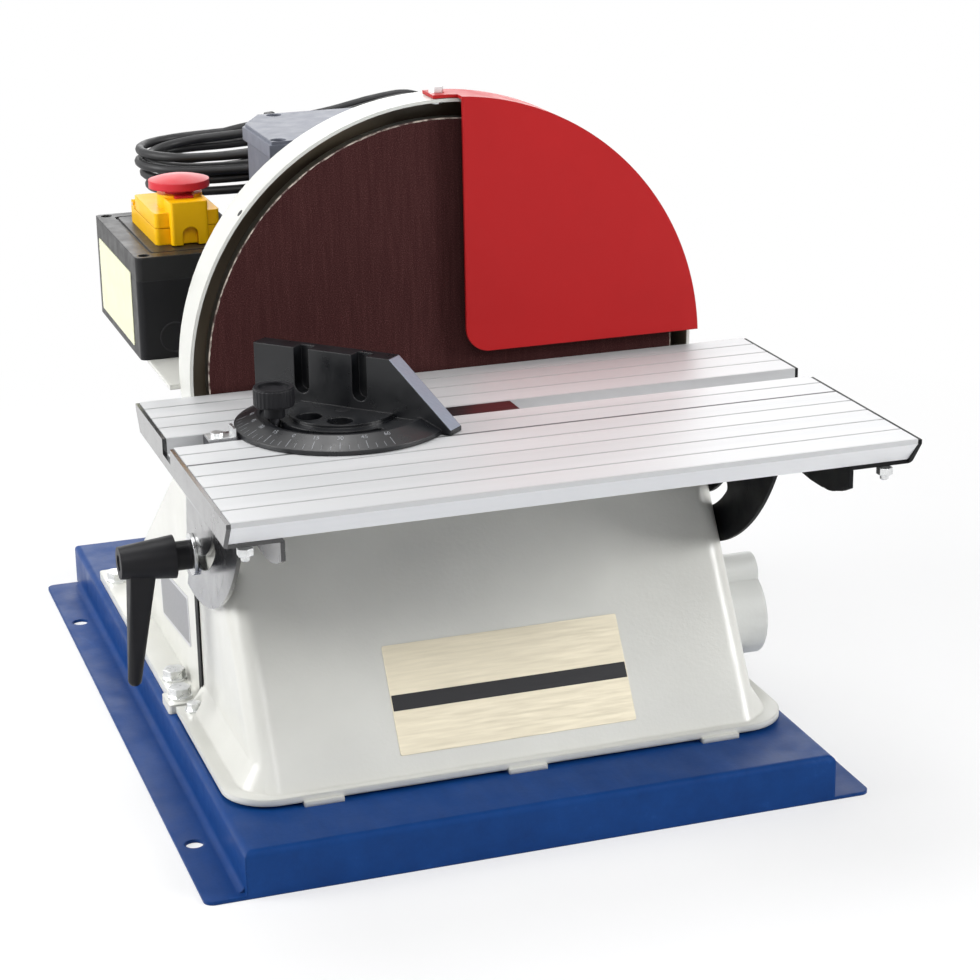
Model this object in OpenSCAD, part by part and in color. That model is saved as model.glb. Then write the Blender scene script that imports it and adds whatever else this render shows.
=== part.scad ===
// Benchtop disc sander on a folded sheet tray, with a tilting table and a mitre gauge.
// X runs to the right, Y to the back and Z up. The origin is the middle of the four
// bench holes, on the bench.

/* [Disc] */
// Diameter of the sanding disc
disc_d = 300; // [280:1:320]
// Thickness of the aluminium backing plate
disc_t = 8; // [6:0.5:12]
// Thickness of the abrasive sheet
abrasive_t = 1.2; // [0.8:0.1:2]
// Height of the disc's axis above the bench
axis_z = 248.5; // [235:0.5:280]
// Working face of the disc, from the middle of the bench holes
disc_y = -82; // [-95:1:-70]

/* [Housing] */
// Gap round the disc inside the rim
rim_gap = 7; // [5:0.5:12]
// Thickness of the rim
rim_t = 5; // [4:0.5:8]
// How far the rim stands in front of the disc's face
rim_lead = 3; // [1:0.5:6]
// Thickness of the housing's walls
wall_t = 4; // [3:0.5:6]
// Rounding of the two long front edges
edge_r = 14; // [8:1:24]
// Run from the disc's face to the foot of the sloping front
foot_reach = 133; // [110:1:150]
// Run from the disc's face to the top of the sloping front
top_reach = 14.5; // [12:0.5:18]
// Drop from the disc's axis to the top of the front housing
wall_drop = 27; // [26:0.5:32]
// Width of the foot flange outside the walls
foot_w = 18; // [14:1:20]
// Thickness of the foot flange
foot_t = 4; // [3:0.5:6]
// Rounding of the foot flange's front corners
foot_r = 30; // [16:1:36]
// Height of the flare above the foot flange
flare_h = 14; // [8:1:24]
// Height of the pads under the foot flange
pad_h = 2; // [1:0.5:4]
// Width of each pad
pad_w = 24; // [16:1:36]
// Thickness of the back plate
plate_t = 6; // [5:0.5:9]
// Run from the disc's face to the back plate
plate_run = 22; // [20:0.5:28]
// Open seam between the front housing and the back plate
seam_gap = 3; // [1:0.5:5]
// Length of the rear stand behind the back plate
stand_l = 237; // [200:1:250]
// Drop from the axis to the top of the rear stand's cheeks
cheek_drop = 47; // [40:1:80]

/* [Base tray] */
// Gap from the housing's side wall to the side of the raised tray
tray_margin = 22.5; // [20:0.5:30]
// Front edge of the tray, from the middle of the bench holes
tray_front = 266; // [255:1:290]
// Back edge of the tray, from the middle of the bench holes
tray_back = 283; // [275:1:310]
// Height of the raised tray
tray_h = 29; // [20:1:36]
// Thickness of the folded sheet
sheet_t = 2; // [1.5:0.5:3]
// Outer radius of the folds
fold_r = 4; // [3.5:0.5:6]
// Width of each bench flange
flange_w = 24; // [20:1:32]
// Spacing of the bench holes from front to back
bench_pitch_y = 381; // [340:1:420]
// Diameter of the bench holes
bench_hole_d = 11; // [7:0.5:13]

/* [Table] */
// Drop from the disc's axis to the table's top
table_drop = 5.5; // [4:0.5:10]
// Thickness of the table
table_t = 15; // [14:0.5:16]
// Depth of the table from front to back
table_d = 236; // [220:1:250]
// Gap from the table's back edge to the disc
table_gap = 3; // [2:0.5:5]
// Reach of the table past each trunnion plate
table_reach = 31; // [26:1:40]
// How far the table sits right of the middle
table_shift = 3; // [0:0.5:5]
// Width of each rib band on the top
band_w = 20.5; // [18:0.5:22]
// Depth of the fine grooves between the bands
groove_h = 0.8; // [0.4:0.1:1.5]
// Width of the mitre slot
slot_w = 19; // [17:0.5:20]
// Depth of the mitre slot
slot_h = 9; // [8:0.5:9.5]
// Run from the table's back edge to the middle of the mitre slot
slot_run = 87.5; // [80:0.5:95]
// Height of the upright lip on the table's edges
lip_h = 3; // [2:0.5:5]
// How far the undercut edges draw in
undercut = 11; // [6:0.5:13]
// Thickness of the bent bracket sheet
bracket_t = 2.5; // [2:0.25:3]
// Gap between a trunnion plate and the housing's wall
side_gap = 2.5; // [2:0.25:4]
// Radius of the arc slot about the tilt pivot
arc_r = 74; // [70:0.5:78]
// Width of the arc slot
arc_w = 9; // [8.5:0.25:10]
// Radius of the trunnion's big lobe
lobe_r = 98; // [94:0.5:104]
// Largest tilt of the table
tilt_max = 45; // [30:1:50]
// Diameter of the pivot bolts and the clamp stud
stud_d = 8; // [6:0.5:8]

/* [Mitre gauge] */
// Radius of the graduated half disc
gauge_r = 62.5; // [56:0.5:66]
// Height of the fence
fence_h = 40; // [30:1:46]
// Thickness of the fence
fence_t = 12; // [8:0.5:14]
// Turn of the fence from square
gauge_turn = 43; // [0:1:60]
// Pivot of the gauge, left of the middle
gauge_x = 92; // [60:1:100]
// Length of the guide bar
bar_l = 185; // [170:1:220]
// Diameter of the clamp knob
knob_d = 23; // [18:0.5:26]

/* [Motor] */
// Radius over the cooling fins
motor_r = 80; // [74:0.5:82]
// Height of the cooling fins
fin_h = 9; // [6:0.5:11]
// Number of cooling fins
fin_n = 36; // [24:2:40]
// Length of the finned frame
frame_l = 150; // [130:1:170]
// Length of the fan cover
cover_l = 82; // [70:1:90]
// Radius of the fan cover
cover_r = 76; // [72:0.5:76]
// Diameter of the motor's shaft
shaft_d = 19; // [16:0.5:24]
// Width of the terminal box
term_w = 130; // [110:1:140]
// Depth of the terminal box
term_d = 105; // [90:1:110]
// Height of the terminal box with its lid
term_h = 47; // [40:1:47]

/* [Switch] */
// Gap between the motor's fins and the switch box
switch_gap = 13; // [8:0.5:20]
// Width of the switch box
switch_w = 80; // [76:1:84]
// Depth of the switch box
switch_d = 140; // [130:1:150]
// Height of the switch box without its lid
switch_h = 51; // [44:1:60]
// Height of the switch box's lid
lid_h = 15; // [12:0.5:20]
// Width of the yellow switch
button_w = 42; // [40:0.5:46]
// Diameter of the stop button
stop_d = 39; // [34:0.5:40]
// Travel of the stop button
stop_travel = 3; // [2:0.5:3.5]

/* [Dust port] */
// Outer diameter of the dust port
port_d = 56; // [50:0.5:58]
// Wall of the dust port
port_wall = 3; // [2:0.5:4]
// Reach of the dust port from the housing's wall
port_l = 38; // [32:1:44]
// Gap between the dust port and the foot flange
port_lift = 1; // [0.5:0.5:8]
// Radius of the screw boss along the dust port's top
boss_r = 12; // [9:0.5:14]

/* [Cord] */
// Diameter of the mains cord
cord_d = 6.3; // [5.5:0.1:6.6]

/* [Hidden] */
$fn = 64;

// Fits and small gaps
fit = 0.06;
run_gap = 0.3;
over = 1;

// Housing
rim_r = disc_d / 2 + rim_gap + rim_t;
body_hw = rim_r - 2;
wall_top = axis_z - wall_drop;
foot_z = tray_h + pad_h;
front_foot_y = disc_y - foot_reach;
front_top_y = disc_y - top_reach;
front_slope = atan2(front_top_y - front_foot_y, wall_top - foot_z);
plate_y = disc_y + plate_run;
seam_y = plate_y - seam_gap;
stand_y = plate_y + plate_t;
foot_hw = body_hw + foot_w;
foot_front = front_foot_y - 3;
foot_back = stand_y + stand_l + 20;
pad_xs = [-124, 2, 127];
bolt_x = body_hw + foot_w / 2;
bolt_ys = [stand_y + 37, stand_y + stand_l - 5];
lug_y = stand_y + 6;
lug_w = 22;
seam_screw_x = body_hw + foot_w * 0.45;

// Tray
tray_hw = body_hw + tray_margin;
bench_x = tray_hw + flange_w / 2 + 1.5;

// Table and its tilt
table_z = axis_z - table_drop;
table_low = table_z - table_t;
table_back = disc_y - table_gap;
table_front = table_back - table_d;
plate_in = body_hw + side_gap;
plate_out = plate_in + bracket_t;
table_hl = plate_out + table_reach;
pivot_y = disc_y - 6;
pivot_z = table_low - 11.5;
pivot_boss = table_low - pivot_z;
stud_r = stud_d / 2;
stud_turn = 4;
stud_y = pivot_y + arc_r * sin(stud_turn);
stud_z = pivot_z - arc_r * cos(stud_turn);
slot_y = table_back - slot_run;
table_bolt_x = plate_out + 0.55 * table_reach;
table_bolt_ys = [table_front + 32, table_back - 24];

// Mitre gauge
bar_x0 = -gauge_x - gauge_r - 17.5;
bar_w = slot_w - 2 * run_gap;
bar_top = table_z - 0.2;
gauge_z = table_z + run_gap;
head_h = 8;
arc_slot_r = gauge_r - 22.5;
fence_u0 = -gauge_r;
fence_v = 5;
knob_z = gauge_z + head_h + 0.4;

// Motor
flange_t = 12;
frame_y = stand_y + flange_t;
shield_y = frame_y + frame_l;
shield_t = 12;
cover_y = shield_y + shield_t / 2;
frame_bore = 62;
shaft_r = shaft_d / 2;
bearing_r = 20;
bearing_t = 12;
fan_y = cover_y + 34;
term_x = -88;
term_y = stand_y + 47;
term_z = axis_z + motor_r + 2;
term_lid_h = 10;
term_cut = [18, 33];

// Switch
switch_x = -motor_r - switch_gap - switch_w;
switch_y = disc_y + 90;
switch_z = axis_z - 6;
shelf_t = 3;
lid_z = switch_z + switch_h;
lid_top = lid_z + lid_h;
button_x = switch_x + 19.5;
button_y = switch_y + 31;
button_l = 79;
base_h = 10.5;
button_low = 5;
flap_z = lid_top + base_h + 0.4;
flap_h = 9.5;
ridge_h = 7.6;
flap_top = flap_z + flap_h;
hinge_y = button_y + button_l - 3;
hinge_z = flap_z + 1.6;
stop_x = button_x + button_w / 2;
stop_y = button_y + 21;
collar_h = ridge_h + 1.4;

// Dust port
port_y = disc_y - 24;
port_z = foot_z + foot_t + port_lift + port_d / 2;
port_bore = port_d - 2 * port_wall;
boss_z = port_z + port_d / 2;

// Cord: where it leaves the switch box, how the coil lies and where the plug lies
cord_r = cord_d / 2;
gland_x = switch_x + 40;
gland_z = switch_z + 24;
gland_l = 30;
coil_mid = [-34, 172, 326.8];
coil_yaw = -20;
coil_half = 60;
coil_out_r = 42;
coil_step = 8.4;
coil_rise = 8;
coil_seat_x = -15;
coil_slope = 0.2;
coil_curl = 0.001;
loop_rings = 24;
layer_rings = 21;
climb_rings = 12;
layers = 4;
coil_rings = layers * layer_rings + (layers - 1) * climb_rings;
plug_at = [46, 246, 48];
mains_points = [[-133, 204, 270], [-127, 221, 281], [-113, 234, 296]];
plug_points = [
    [60, 184, 369], [78, 184, 360], [91, 189, 341], [99, 197, 314], [104, 207, 280], [108, 216, 238],
    [109, 222, 190], [108, 229, 140], [105, 236, 100], [95, 242, 70], [80, 245, 54]
];

// Shared shapes

// Straight rod along X from x0 to x1
module rod_x(x0, x1, r, y, z) {
    translate([x0, y, z]) rotate([0, 90, 0]) cylinder(h = x1 - x0, r = r);
}

// Straight rod along Y from y0 to y1
module rod_y(y0, y1, r, x, z) {
    translate([x, y0, z]) rotate([-90, 0, 0]) cylinder(h = y1 - y0, r = r);
}

// Outline drawn in Y and Z, pulled along X from x0 to x1
module pull_x(x0, x1) {
    translate([x0, 0, 0]) rotate([90, 0, 90]) linear_extrude(x1 - x0) children();
}

// Outline drawn in X and Z, pulled along Y from y0 to y1
module pull_y(y0, y1) {
    translate([0, y1, 0]) rotate([90, 0, 0]) linear_extrude(y1 - y0) children();
}

// Rectangle from corner p to corner q with rounded corners
module round_rect(p, q, r) {
    translate([p.x + r, p.y]) square([q.x - p.x - 2 * r, q.y - p.y]);
    translate([p.x, p.y + r]) square([q.x - p.x, q.y - p.y - 2 * r]);
    for (x = [p.x + r, q.x - r], y = [p.y + r, q.y - r]) translate([x, y]) circle(r);
}

// Hexagon bolt head of height h standing on z = 0
module hex_head(across, h) {
    cylinder(h = h, r = across / 2 / cos(30), $fn = 6);
}

// Copies its children on both sides of the middle plane
module both_sides() {
    children();
    mirror([1, 0, 0]) children();
}

// Base tray

// Upturned box with rounded top edges
module pillow(hw, y0, y1, top, r) {
    intersection() {
        pull_y(y0 - over, y1 + over) {
            translate([-hw, 0]) square([2 * hw, top - r]);
            translate([-hw + r, 0]) square([2 * hw - 2 * r, top]);
            for (x = [-hw + r, hw - r]) translate([x, top - r]) circle(r);
        }
        pull_x(-hw - over, hw + over) {
            translate([y0, 0]) square([y1 - y0, top - r]);
            translate([y0 + r, 0]) square([y1 - y0 - 2 * r, top]);
            for (y = [y0 + r, y1 - r]) translate([y, top - r]) circle(r);
        }
    }
}

module base_tray() {
    color("royalblue") difference() {
        union() {
            pillow(tray_hw, -tray_front, tray_back, tray_h, fold_r);
            both_sides() {
                linear_extrude(sheet_t) round_rect([tray_hw - fold_r * 2, -tray_front],
                    [tray_hw + flange_w, tray_back - 8], 6);
                pull_y(-tray_front + 6, tray_back - 14) difference() {
                    translate([tray_hw - 0.5, sheet_t]) square([fold_r + 0.5, fold_r]);
                    translate([tray_hw + fold_r, sheet_t + fold_r]) circle(fold_r);
                }
            }
        }
        translate([0, 0, -over]) pillow(tray_hw - sheet_t, -tray_front + sheet_t, tray_back - sheet_t,
            tray_h - sheet_t + over, fold_r - sheet_t);
        for (x = [-bench_x, bench_x], y = [-bench_pitch_y / 2, bench_pitch_y / 2])
            translate([x, y, -over]) cylinder(h = tray_h, d = bench_hole_d);
        foot_bolt_places() translate([0, 0, tray_h - sheet_t - over])
            cylinder(h = sheet_t + 2 * over, r = stud_r + fit);
    }
}

// Front housing

// Prism with rounded front edges that leans back with the sloping front
module leaning_prism(hw, inset, r) {
    translate([0, front_foot_y, foot_z]) rotate([-front_slope, 0, 0]) translate([0, inset, -60])
        linear_extrude(2 * wall_top) {
            translate([-hw, r]) square([2 * hw, 300]);
            translate([-hw + r, 0]) square([2 * hw - 2 * r, 300]);
            for (x = [-hw + r, hw - r]) translate([x, r]) circle(r);
        }
}

// Outline from y0 back to y1 with two rounded front corners
module front_rounded(hw, y0, y1, r) {
    translate([-hw, y0 + r]) square([2 * hw, y1 - y0 - r]);
    translate([-hw + r, y0]) square([2 * hw - 2 * r, y1 - y0]);
    for (x = [-hw + r, hw - r]) translate([x, y0 + r]) circle(r, $fn = 48);
}

// Outline of the foot flange, grown by g
module foot_outline(g) {
    front_rounded(foot_hw + g, foot_front - g, seam_y, foot_r + g);
}

// Flared skirt from the foot flange up to the walls, cleared round the port and the screws
module foot_flare() {
    z0 = foot_z + foot_t - 0.5;
    z1 = foot_z + foot_t + flare_h;
    wall_y = front_foot_y + (z1 - foot_z) * tan(front_slope);
    difference() {
        hull() {
            translate([0, 0, z0]) linear_extrude(0.5) foot_outline(-foot_w / 2);
            translate([0, 0, z1]) linear_extrude(0.5)
                front_rounded(body_hw - 0.4, wall_y + 0.6, seam_y - 2, edge_r);
        }
        rod_x(body_hw - 10, body_hw + 30, port_d / 2 + fit, port_y, port_z);
        both_sides() translate([seam_screw_x, seam_y - 9, foot_z]) cylinder(h = 40, r = 6 + run_gap);
    }
}

module front_housing() {
    color("gainsboro") difference() {
        union() {
            intersection() {
                leaning_prism(body_hw, 0, edge_r);
                translate([-body_hw, front_foot_y - 50, foot_z])
                    cube([2 * body_hw, seam_y - front_foot_y + 50, wall_top - foot_z]);
            }
            foot_flare();
            translate([0, 0, foot_z]) linear_extrude(foot_t) foot_outline(0);
            for (x = pad_xs) translate([x - pad_w / 2, foot_front - 3, tray_h]) cube([pad_w, 24, pad_h + 1]);
        }
        leaning_prism(body_hw - wall_t, wall_t, edge_r - wall_t);
        for (x = [-body_hw - over, body_hw - wall_t - over])
            rod_x(x, x + wall_t + 2 * over, stud_r + fit, pivot_y, pivot_z);
        for (x = [-body_hw - over, body_hw - wall_t - over])
            rod_x(x, x + wall_t + 2 * over, stud_r + fit, stud_y, stud_z);
        rod_x(body_hw - wall_t - over, body_hw + over, port_bore / 2, port_y, port_z);
    }
}

// Disc housing: back plate with a rim round the upper half of the disc
module disc_housing() {
    color("white") difference() {
        union() {
            pull_y(plate_y, stand_y) {
                translate([0, axis_z]) circle(rim_r);
                translate([-body_hw, foot_z]) square([2 * body_hw, axis_z - foot_z]);
            }
            intersection() {
                pull_y(disc_y - rim_lead, stand_y) translate([0, axis_z]) difference() {
                    circle(rim_r);
                    circle(rim_r - rim_t);
                }
                translate([-rim_r, disc_y - rim_lead, wall_top])
                    cube([2 * rim_r, stand_y - disc_y + rim_lead, 2 * rim_r]);
            }
        }
        rod_y(plate_y - over, stand_y + over, 40 + fit, 0, axis_z);
        flange_screw_places() translate([0, 0, -over]) cylinder(h = 40, r = 3 + fit);
        stand_screw_places() rod_y(plate_y - over, stand_y + over, 3 + fit, 0, 0);
        guard_screw_places() translate([0, 0, -12]) cylinder(h = 12 + over, r = 2.5 + fit);
    }
}

// Rear stand: a web with two sloping cheeks and outward feet
module rear_stand() {
    web_top = axis_z - motor_r - 14;
    color("white") difference() {
        union() {
            translate([-body_hw, stand_y, foot_z]) cube([2 * body_hw, wall_t, web_top - foot_z]);
            both_sides() {
                pull_x(body_hw - wall_t, body_hw) polygon([
                    [stand_y, foot_z], [stand_y + stand_l, foot_z],
                    [stand_y + stand_l, foot_z + 6], [stand_y, axis_z - cheek_drop]
                ]);
                translate([0, 0, tray_h]) linear_extrude(foot_t + pad_h)
                    round_rect([body_hw - wall_t, stand_y], [foot_hw, foot_back], 3);
                translate([0, 0, tray_h]) linear_extrude(foot_t + pad_h)
                    round_rect([body_hw, stand_y - 6], [foot_hw + 4, stand_y - 6 + lug_w], 2);
            }
        }
        foot_bolt_places() translate([0, 0, tray_h - over]) cylinder(h = 30, r = stud_r + fit);
        stand_screw_places() rod_y(stand_y - over, stand_y + wall_t + over, 3 + fit, 0, 0);
    }
}

module foot_bolt_places() {
    for (x = [-bolt_x, bolt_x], y = bolt_ys) translate([x, y, 0]) children();
    for (x = [-bolt_x - 3, bolt_x + 3]) translate([x, lug_y, 0]) children();
}

module foot_bolts() {
    top = tray_h + foot_t + pad_h;
    under = tray_h - sheet_t;
    color("silver") foot_bolt_places() {
        translate([0, 0, top]) cylinder(h = 1.6, r = stud_r * 2);
        translate([0, 0, top + 1.6]) hex_head(stud_d * 1.6, 5.5);
        translate([0, 0, under - 7]) cylinder(h = top - under + 9, r = stud_r);
        translate([0, 0, under - 6]) rotate(30) hex_head(stud_d * 1.6, 6);
    }
}

module stand_screw_places() {
    for (x = [-110, 110], z = [foot_z + 30, foot_z + 80]) translate([x, 0, z]) children();
}

module housing_screws() {
    color("silver") {
        stand_screw_places() {
            rod_y(plate_y, stand_y + wall_t + 6, 3, 0, 0);
            rod_y(plate_y - 3, plate_y, 5.5, 0, 0);
            translate([0, stand_y + wall_t + 5, 0]) rotate([90, 0, 0]) hex_head(10, 5);
        }
        both_sides() translate([seam_screw_x, seam_y - 9, foot_z + foot_t]) {
            cylinder(h = 1.2, r = 6);
            translate([0, 0, 1.2]) hex_head(8, 4);
        }
    }
}

// Dust port: a round duct with a screw boss along its top
module dust_port() {
    end = body_hw + port_l;
    color("whitesmoke") difference() {
        union() {
            rod_x(body_hw, end, port_d / 2, port_y, port_z);
            rod_x(body_hw, end, boss_r, port_y, boss_z);
        }
        rod_x(body_hw - over, end + over, port_bore / 2, port_y, port_z);
        rod_x(end - boss_r, end + over, boss_r / 5, port_y, boss_z + boss_r / 3);
    }
}

// Disc guard: a flat sheet with a lip that wraps over the rim
guard_t = 2;
guard_y = disc_y - rim_lead - 6;
guard_x = 10;
guard_low = 6;
guard_out = rim_r + guard_t + 0.3;

module disc_guard() {
    back = disc_y + 20;
    color("crimson") {
        pull_y(guard_y - guard_t, guard_y) translate([0, axis_z]) intersection() {
            circle(guard_out);
            union() {
                translate([guard_x + 15, guard_low]) square(guard_out);
                translate([guard_x, guard_low + 15]) square(guard_out);
                translate([guard_x + 15, guard_low + 15]) circle(15);
            }
        }
        pull_y(guard_y - guard_t, back) translate([0, axis_z]) guard_lip(guard_x, guard_low);
        difference() {
            pull_y(disc_y - 2, back) translate([0, axis_z]) guard_lip(-12, guard_out - 6);
            guard_screw_places() translate([0, 0, -3]) cylinder(h = 6, r = 2.5 + fit);
        }
    }
}

// Ring section of the lip, right of x0 and above z0
module guard_lip(x0, z0) {
    intersection() {
        difference() {
            circle(guard_out);
            circle(guard_out - guard_t);
        }
        translate([x0, z0]) square([guard_out - x0, guard_out]);
    }
}

module guard_screw_places() {
    translate([0, disc_y + 9, axis_z]) rotate([0, 0, 0]) translate([0, 0, rim_r + 0.3]) children();
}

module guard_screws() {
    color("silver") guard_screw_places() {
        translate([0, 0, -rim_t - 3]) cylinder(h = rim_t + 6, r = 2.5);
        translate([0, 0, guard_t]) hex_head(8, 4);
        translate([0, 0, -rim_t - 2.5]) cylinder(h = 2, r = 4);
    }
}

// Motor

module flange_screw_places() {
    for (a = [45:90:315])
        translate([60 * cos(a), plate_y, axis_z + 60 * sin(a)]) rotate([-90, 0, 0]) children();
}

module motor_flange() {
    color("dimgray") difference() {
        union() {
            rod_y(stand_y, frame_y, motor_r - 1, 0, axis_z);
            rod_y(plate_y + 1, stand_y, 40, 0, axis_z);
        }
        rod_y(plate_y, frame_y + over, shaft_r + 1, 0, axis_z);
        rod_y(frame_y - bearing_t, frame_y + over, bearing_r + fit, 0, axis_z);
        flange_screw_places() translate([0, 0, plate_t]) cylinder(h = 10, r = 3 + fit);
    }
}

module flange_screws() {
    color("silver") flange_screw_places() {
        translate([0, 0, -4]) cylinder(h = 4, r = 5);
        cylinder(h = plate_t + 9, r = 3);
    }
}

module motor_frame() {
    core = motor_r - fin_h;
    color("slategray") difference() {
        union() {
            pull_y(frame_y, shield_y) translate([0, axis_z]) {
                circle(core);
                for (i = [0:fin_n - 1]) rotate((i + 0.5) * 360 / fin_n)
                    translate([0, -1.4]) square([motor_r, 2.8]);
            }
            translate([-34, term_y + 12, axis_z + core - 6]) cube([68, term_d - 24, term_z - axis_z - core + 6]);
        }
        rod_y(frame_y - over, shield_y + over, frame_bore, 0, axis_z);
    }
}

module motor_stator() {
    color("peru") difference() {
        rod_y(frame_y + 25, shield_y - 25, frame_bore - fit, 0, axis_z);
        rod_y(frame_y, shield_y, 40, 0, axis_z);
    }
}

module motor_rotor() {
    color("lightgray") difference() {
        rod_y(frame_y + 25, shield_y - 25, 39.5, 0, axis_z);
        rod_y(frame_y, shield_y, shaft_r + fit, 0, axis_z);
    }
}

module motor_rear_shield() {
    color("dimgray") difference() {
        rod_y(shield_y, shield_y + shield_t, cover_r - 2, 0, axis_z);
        rod_y(shield_y - over, shield_y + shield_t + over, shaft_r + 1, 0, axis_z);
        rod_y(shield_y - over, shield_y + bearing_t - 3, bearing_r + fit, 0, axis_z);
    }
}

module fan_cover() {
    back = cover_y + cover_l;
    color("dimgray") difference() {
        rod_y(cover_y, back, cover_r, 0, axis_z);
        rod_y(cover_y - over, back - 1.6, cover_r - 1.9, 0, axis_z);
        for (r = [24:12:60], a = [0:90:270]) pull_y(back - 3, back + over) translate([0, axis_z]) rotate(a)
            intersection() {
                difference() {
                    circle(r + 3);
                    circle(r - 3);
                }
                rotate(45) translate([5, 5]) square(r + 4);
            }
    }
}

module bearing(y) {
    color("silver") difference() {
        rod_y(y, y + bearing_t - 3, bearing_r, 0, axis_z);
        rod_y(y - over, y + bearing_t, shaft_r + fit, 0, axis_z);
    }
}

module front_bearing() {
    bearing(frame_y - bearing_t + 2);
}

module rear_bearing() {
    bearing(shield_y);
}

module motor_shaft() {
    color("lightsteelblue") rod_y(disc_y + abrasive_t + disc_t, fan_y + 16, shaft_r, 0, axis_z);
}

module cooling_fan() {
    color("black") pull_y(fan_y, fan_y + 14) translate([0, axis_z]) difference() {
        union() {
            circle(18);
            for (i = [0:7]) rotate(i * 45) translate([0, -1]) square([62, 2]);
        }
        circle(shaft_r + fit);
    }
}

// Outline of the terminal box, drawn in by g, with its two rear corners cut off
module terminal_outline(g) {
    x1 = term_x + term_w;
    y1 = term_y + term_d;
    polygon([
        [term_x + g, term_y + g], [x1 - g, term_y + g], [x1 - g, y1 - term_cut.y], [x1 - term_cut.x, y1 - g],
        [term_x + term_cut.x, y1 - g], [term_x + g, y1 - term_cut.y]
    ]);
}

// Hollow of the box and of its lid
module terminal_hollow() {
    round_rect([term_x + 14, term_y + 14], [term_x + term_w - 14, term_y + term_d - term_cut.y - 2], 5);
}

module terminal_box() {
    color("dimgray") difference() {
        translate([0, 0, term_z]) linear_extrude(term_h - term_lid_h) terminal_outline(3);
        translate([0, 0, term_z + 3]) linear_extrude(term_h) terminal_hollow();
        terminal_screw_places() translate([0, 0, term_z + 5]) cylinder(h = 60, r = 2 + fit);
    }
}

// Lid with a soft top edge and a notch for each screw
module terminal_lid() {
    z = term_z + term_h - term_lid_h;
    color("slategray") difference() {
        union() {
            translate([0, 0, z]) linear_extrude(term_lid_h - 2) terminal_outline(0);
            translate([0, 0, z]) linear_extrude(term_lid_h) terminal_outline(2);
        }
        translate([0, 0, z - over]) linear_extrude(term_lid_h - 4) terminal_hollow();
        terminal_screw_places() {
            translate([0, 0, z - over]) cylinder(h = 30, r = 2 + fit);
            translate([0, 0, z + 4]) cylinder(h = 30, r = 5);
        }
    }
}

module terminal_screw_places() {
    for (x = [term_x + 7.5, term_x + term_w - 7.5]) translate([x, term_y + 7.5, 0]) children();
    for (x = [term_x + 27, term_x + term_w - 27]) translate([x, term_y + term_d - 9, 0]) children();
}

module terminal_screws() {
    z = term_z + term_h - term_lid_h + 4;
    shank = 16;
    color("silver") terminal_screw_places() {
        translate([0, 0, z - shank]) cylinder(h = shank, r = 2);
        translate([0, 0, z]) cylinder(h = 2.5, r = 4);
    }
}

// Switch

module switch_bracket() {
    x0 = switch_x + 5;
    x1 = switch_x + switch_w - 5;
    color("whitesmoke") {
        translate([x0, stand_y, switch_z - shelf_t]) cube([x1 - x0, switch_y + switch_d - stand_y - 6, shelf_t]);
        translate([x0 + 20, stand_y, switch_z - 50]) cube([x1 - x0 - 20, shelf_t, 50 - shelf_t]);
    }
}

module switch_box() {
    color("#1c1d20") difference() {
        translate([0, 0, switch_z]) linear_extrude(switch_h)
            round_rect([switch_x, switch_y], [switch_x + switch_w, switch_y + switch_d], 4);
        translate([0, 0, switch_z + 3]) linear_extrude(switch_h)
            round_rect([switch_x + 13, switch_y + 3], [switch_x + switch_w - 13, switch_y + switch_d - 3], 3);
        rod_y(switch_y - over, switch_y + 0.8, 11, switch_x + 58, switch_z + 22);
        rod_y(switch_y + switch_d - 4, switch_y + switch_d + over, 6 + fit, gland_x, gland_z);
        lid_screw_places() translate([0, 0, lid_z - 20]) cylinder(h = 30, r = 2 + fit);
    }
}

module switch_lid() {
    color("#303238") difference() {
        translate([0, 0, lid_z]) linear_extrude(lid_h)
            round_rect([switch_x, switch_y], [switch_x + switch_w, switch_y + switch_d], 4);
        translate([0, 0, lid_z - over]) linear_extrude(lid_h - 4)
            round_rect([switch_x + 13, switch_y + 3], [switch_x + switch_w - 13, switch_y + switch_d - 3], 3);
        translate([0, 0, lid_top - 1]) linear_extrude(2) difference() {
            round_rect([switch_x + 11, switch_y + 11], [switch_x + switch_w - 11, switch_y + switch_d - 11], 4);
            round_rect([switch_x + 13, switch_y + 13], [switch_x + switch_w - 13, switch_y + switch_d - 13], 3);
        }
        lid_screw_places() {
            translate([0, 0, lid_z - over]) cylinder(h = 30, r = 2 + fit);
            translate([0, 0, lid_top - 8]) cylinder(h = 30, r = 3.6);
        }
    }
}

module lid_screw_places() {
    for (x = [switch_x + 6.5, switch_x + switch_w - 6.5], y = [switch_y + 6.5, switch_y + switch_d - 6.5])
        translate([x, y, 0]) children();
}

module switch_lid_screws() {
    color("silver") lid_screw_places() {
        translate([0, 0, lid_z - 16]) cylinder(h = 17 + lid_h - 8, r = 2);
        translate([0, 0, lid_top - 8]) cylinder(h = 2.5, r = 3.4);
    }
}

// Yellow base of the switch, with ears for the flap's pin
module switch_base() {
    x1 = button_x + button_w;
    color("gold") difference() {
        union() {
            translate([0, 0, lid_top]) linear_extrude(base_h)
                round_rect([button_x, button_y], [x1, hinge_y - 4], 3);
            translate([button_x, hinge_y - 8, lid_top]) cube([button_w, 11, 3]);
            for (x = [button_x, x1 - 4]) {
                translate([x, hinge_y - 8, lid_top]) cube([4, 11, hinge_z - lid_top]);
                rod_x(x, x + 4, 3, hinge_y, hinge_z);
            }
        }
        rod_x(button_x - over, x1 + over, 1.5 + fit, hinge_y, hinge_z);
        for (y = [button_y + 24, button_y + 52]) translate([0, 0, lid_top + 2]) linear_extrude(base_h)
            round_rect([stop_x - 9.3, y - 9.3], [stop_x + 9.3, y + 9.3], 3);
    }
}

module flap_pin() {
    color("silver") rod_x(button_x, button_x + button_w, 1.5, hinge_y, hinge_z);
}

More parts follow.
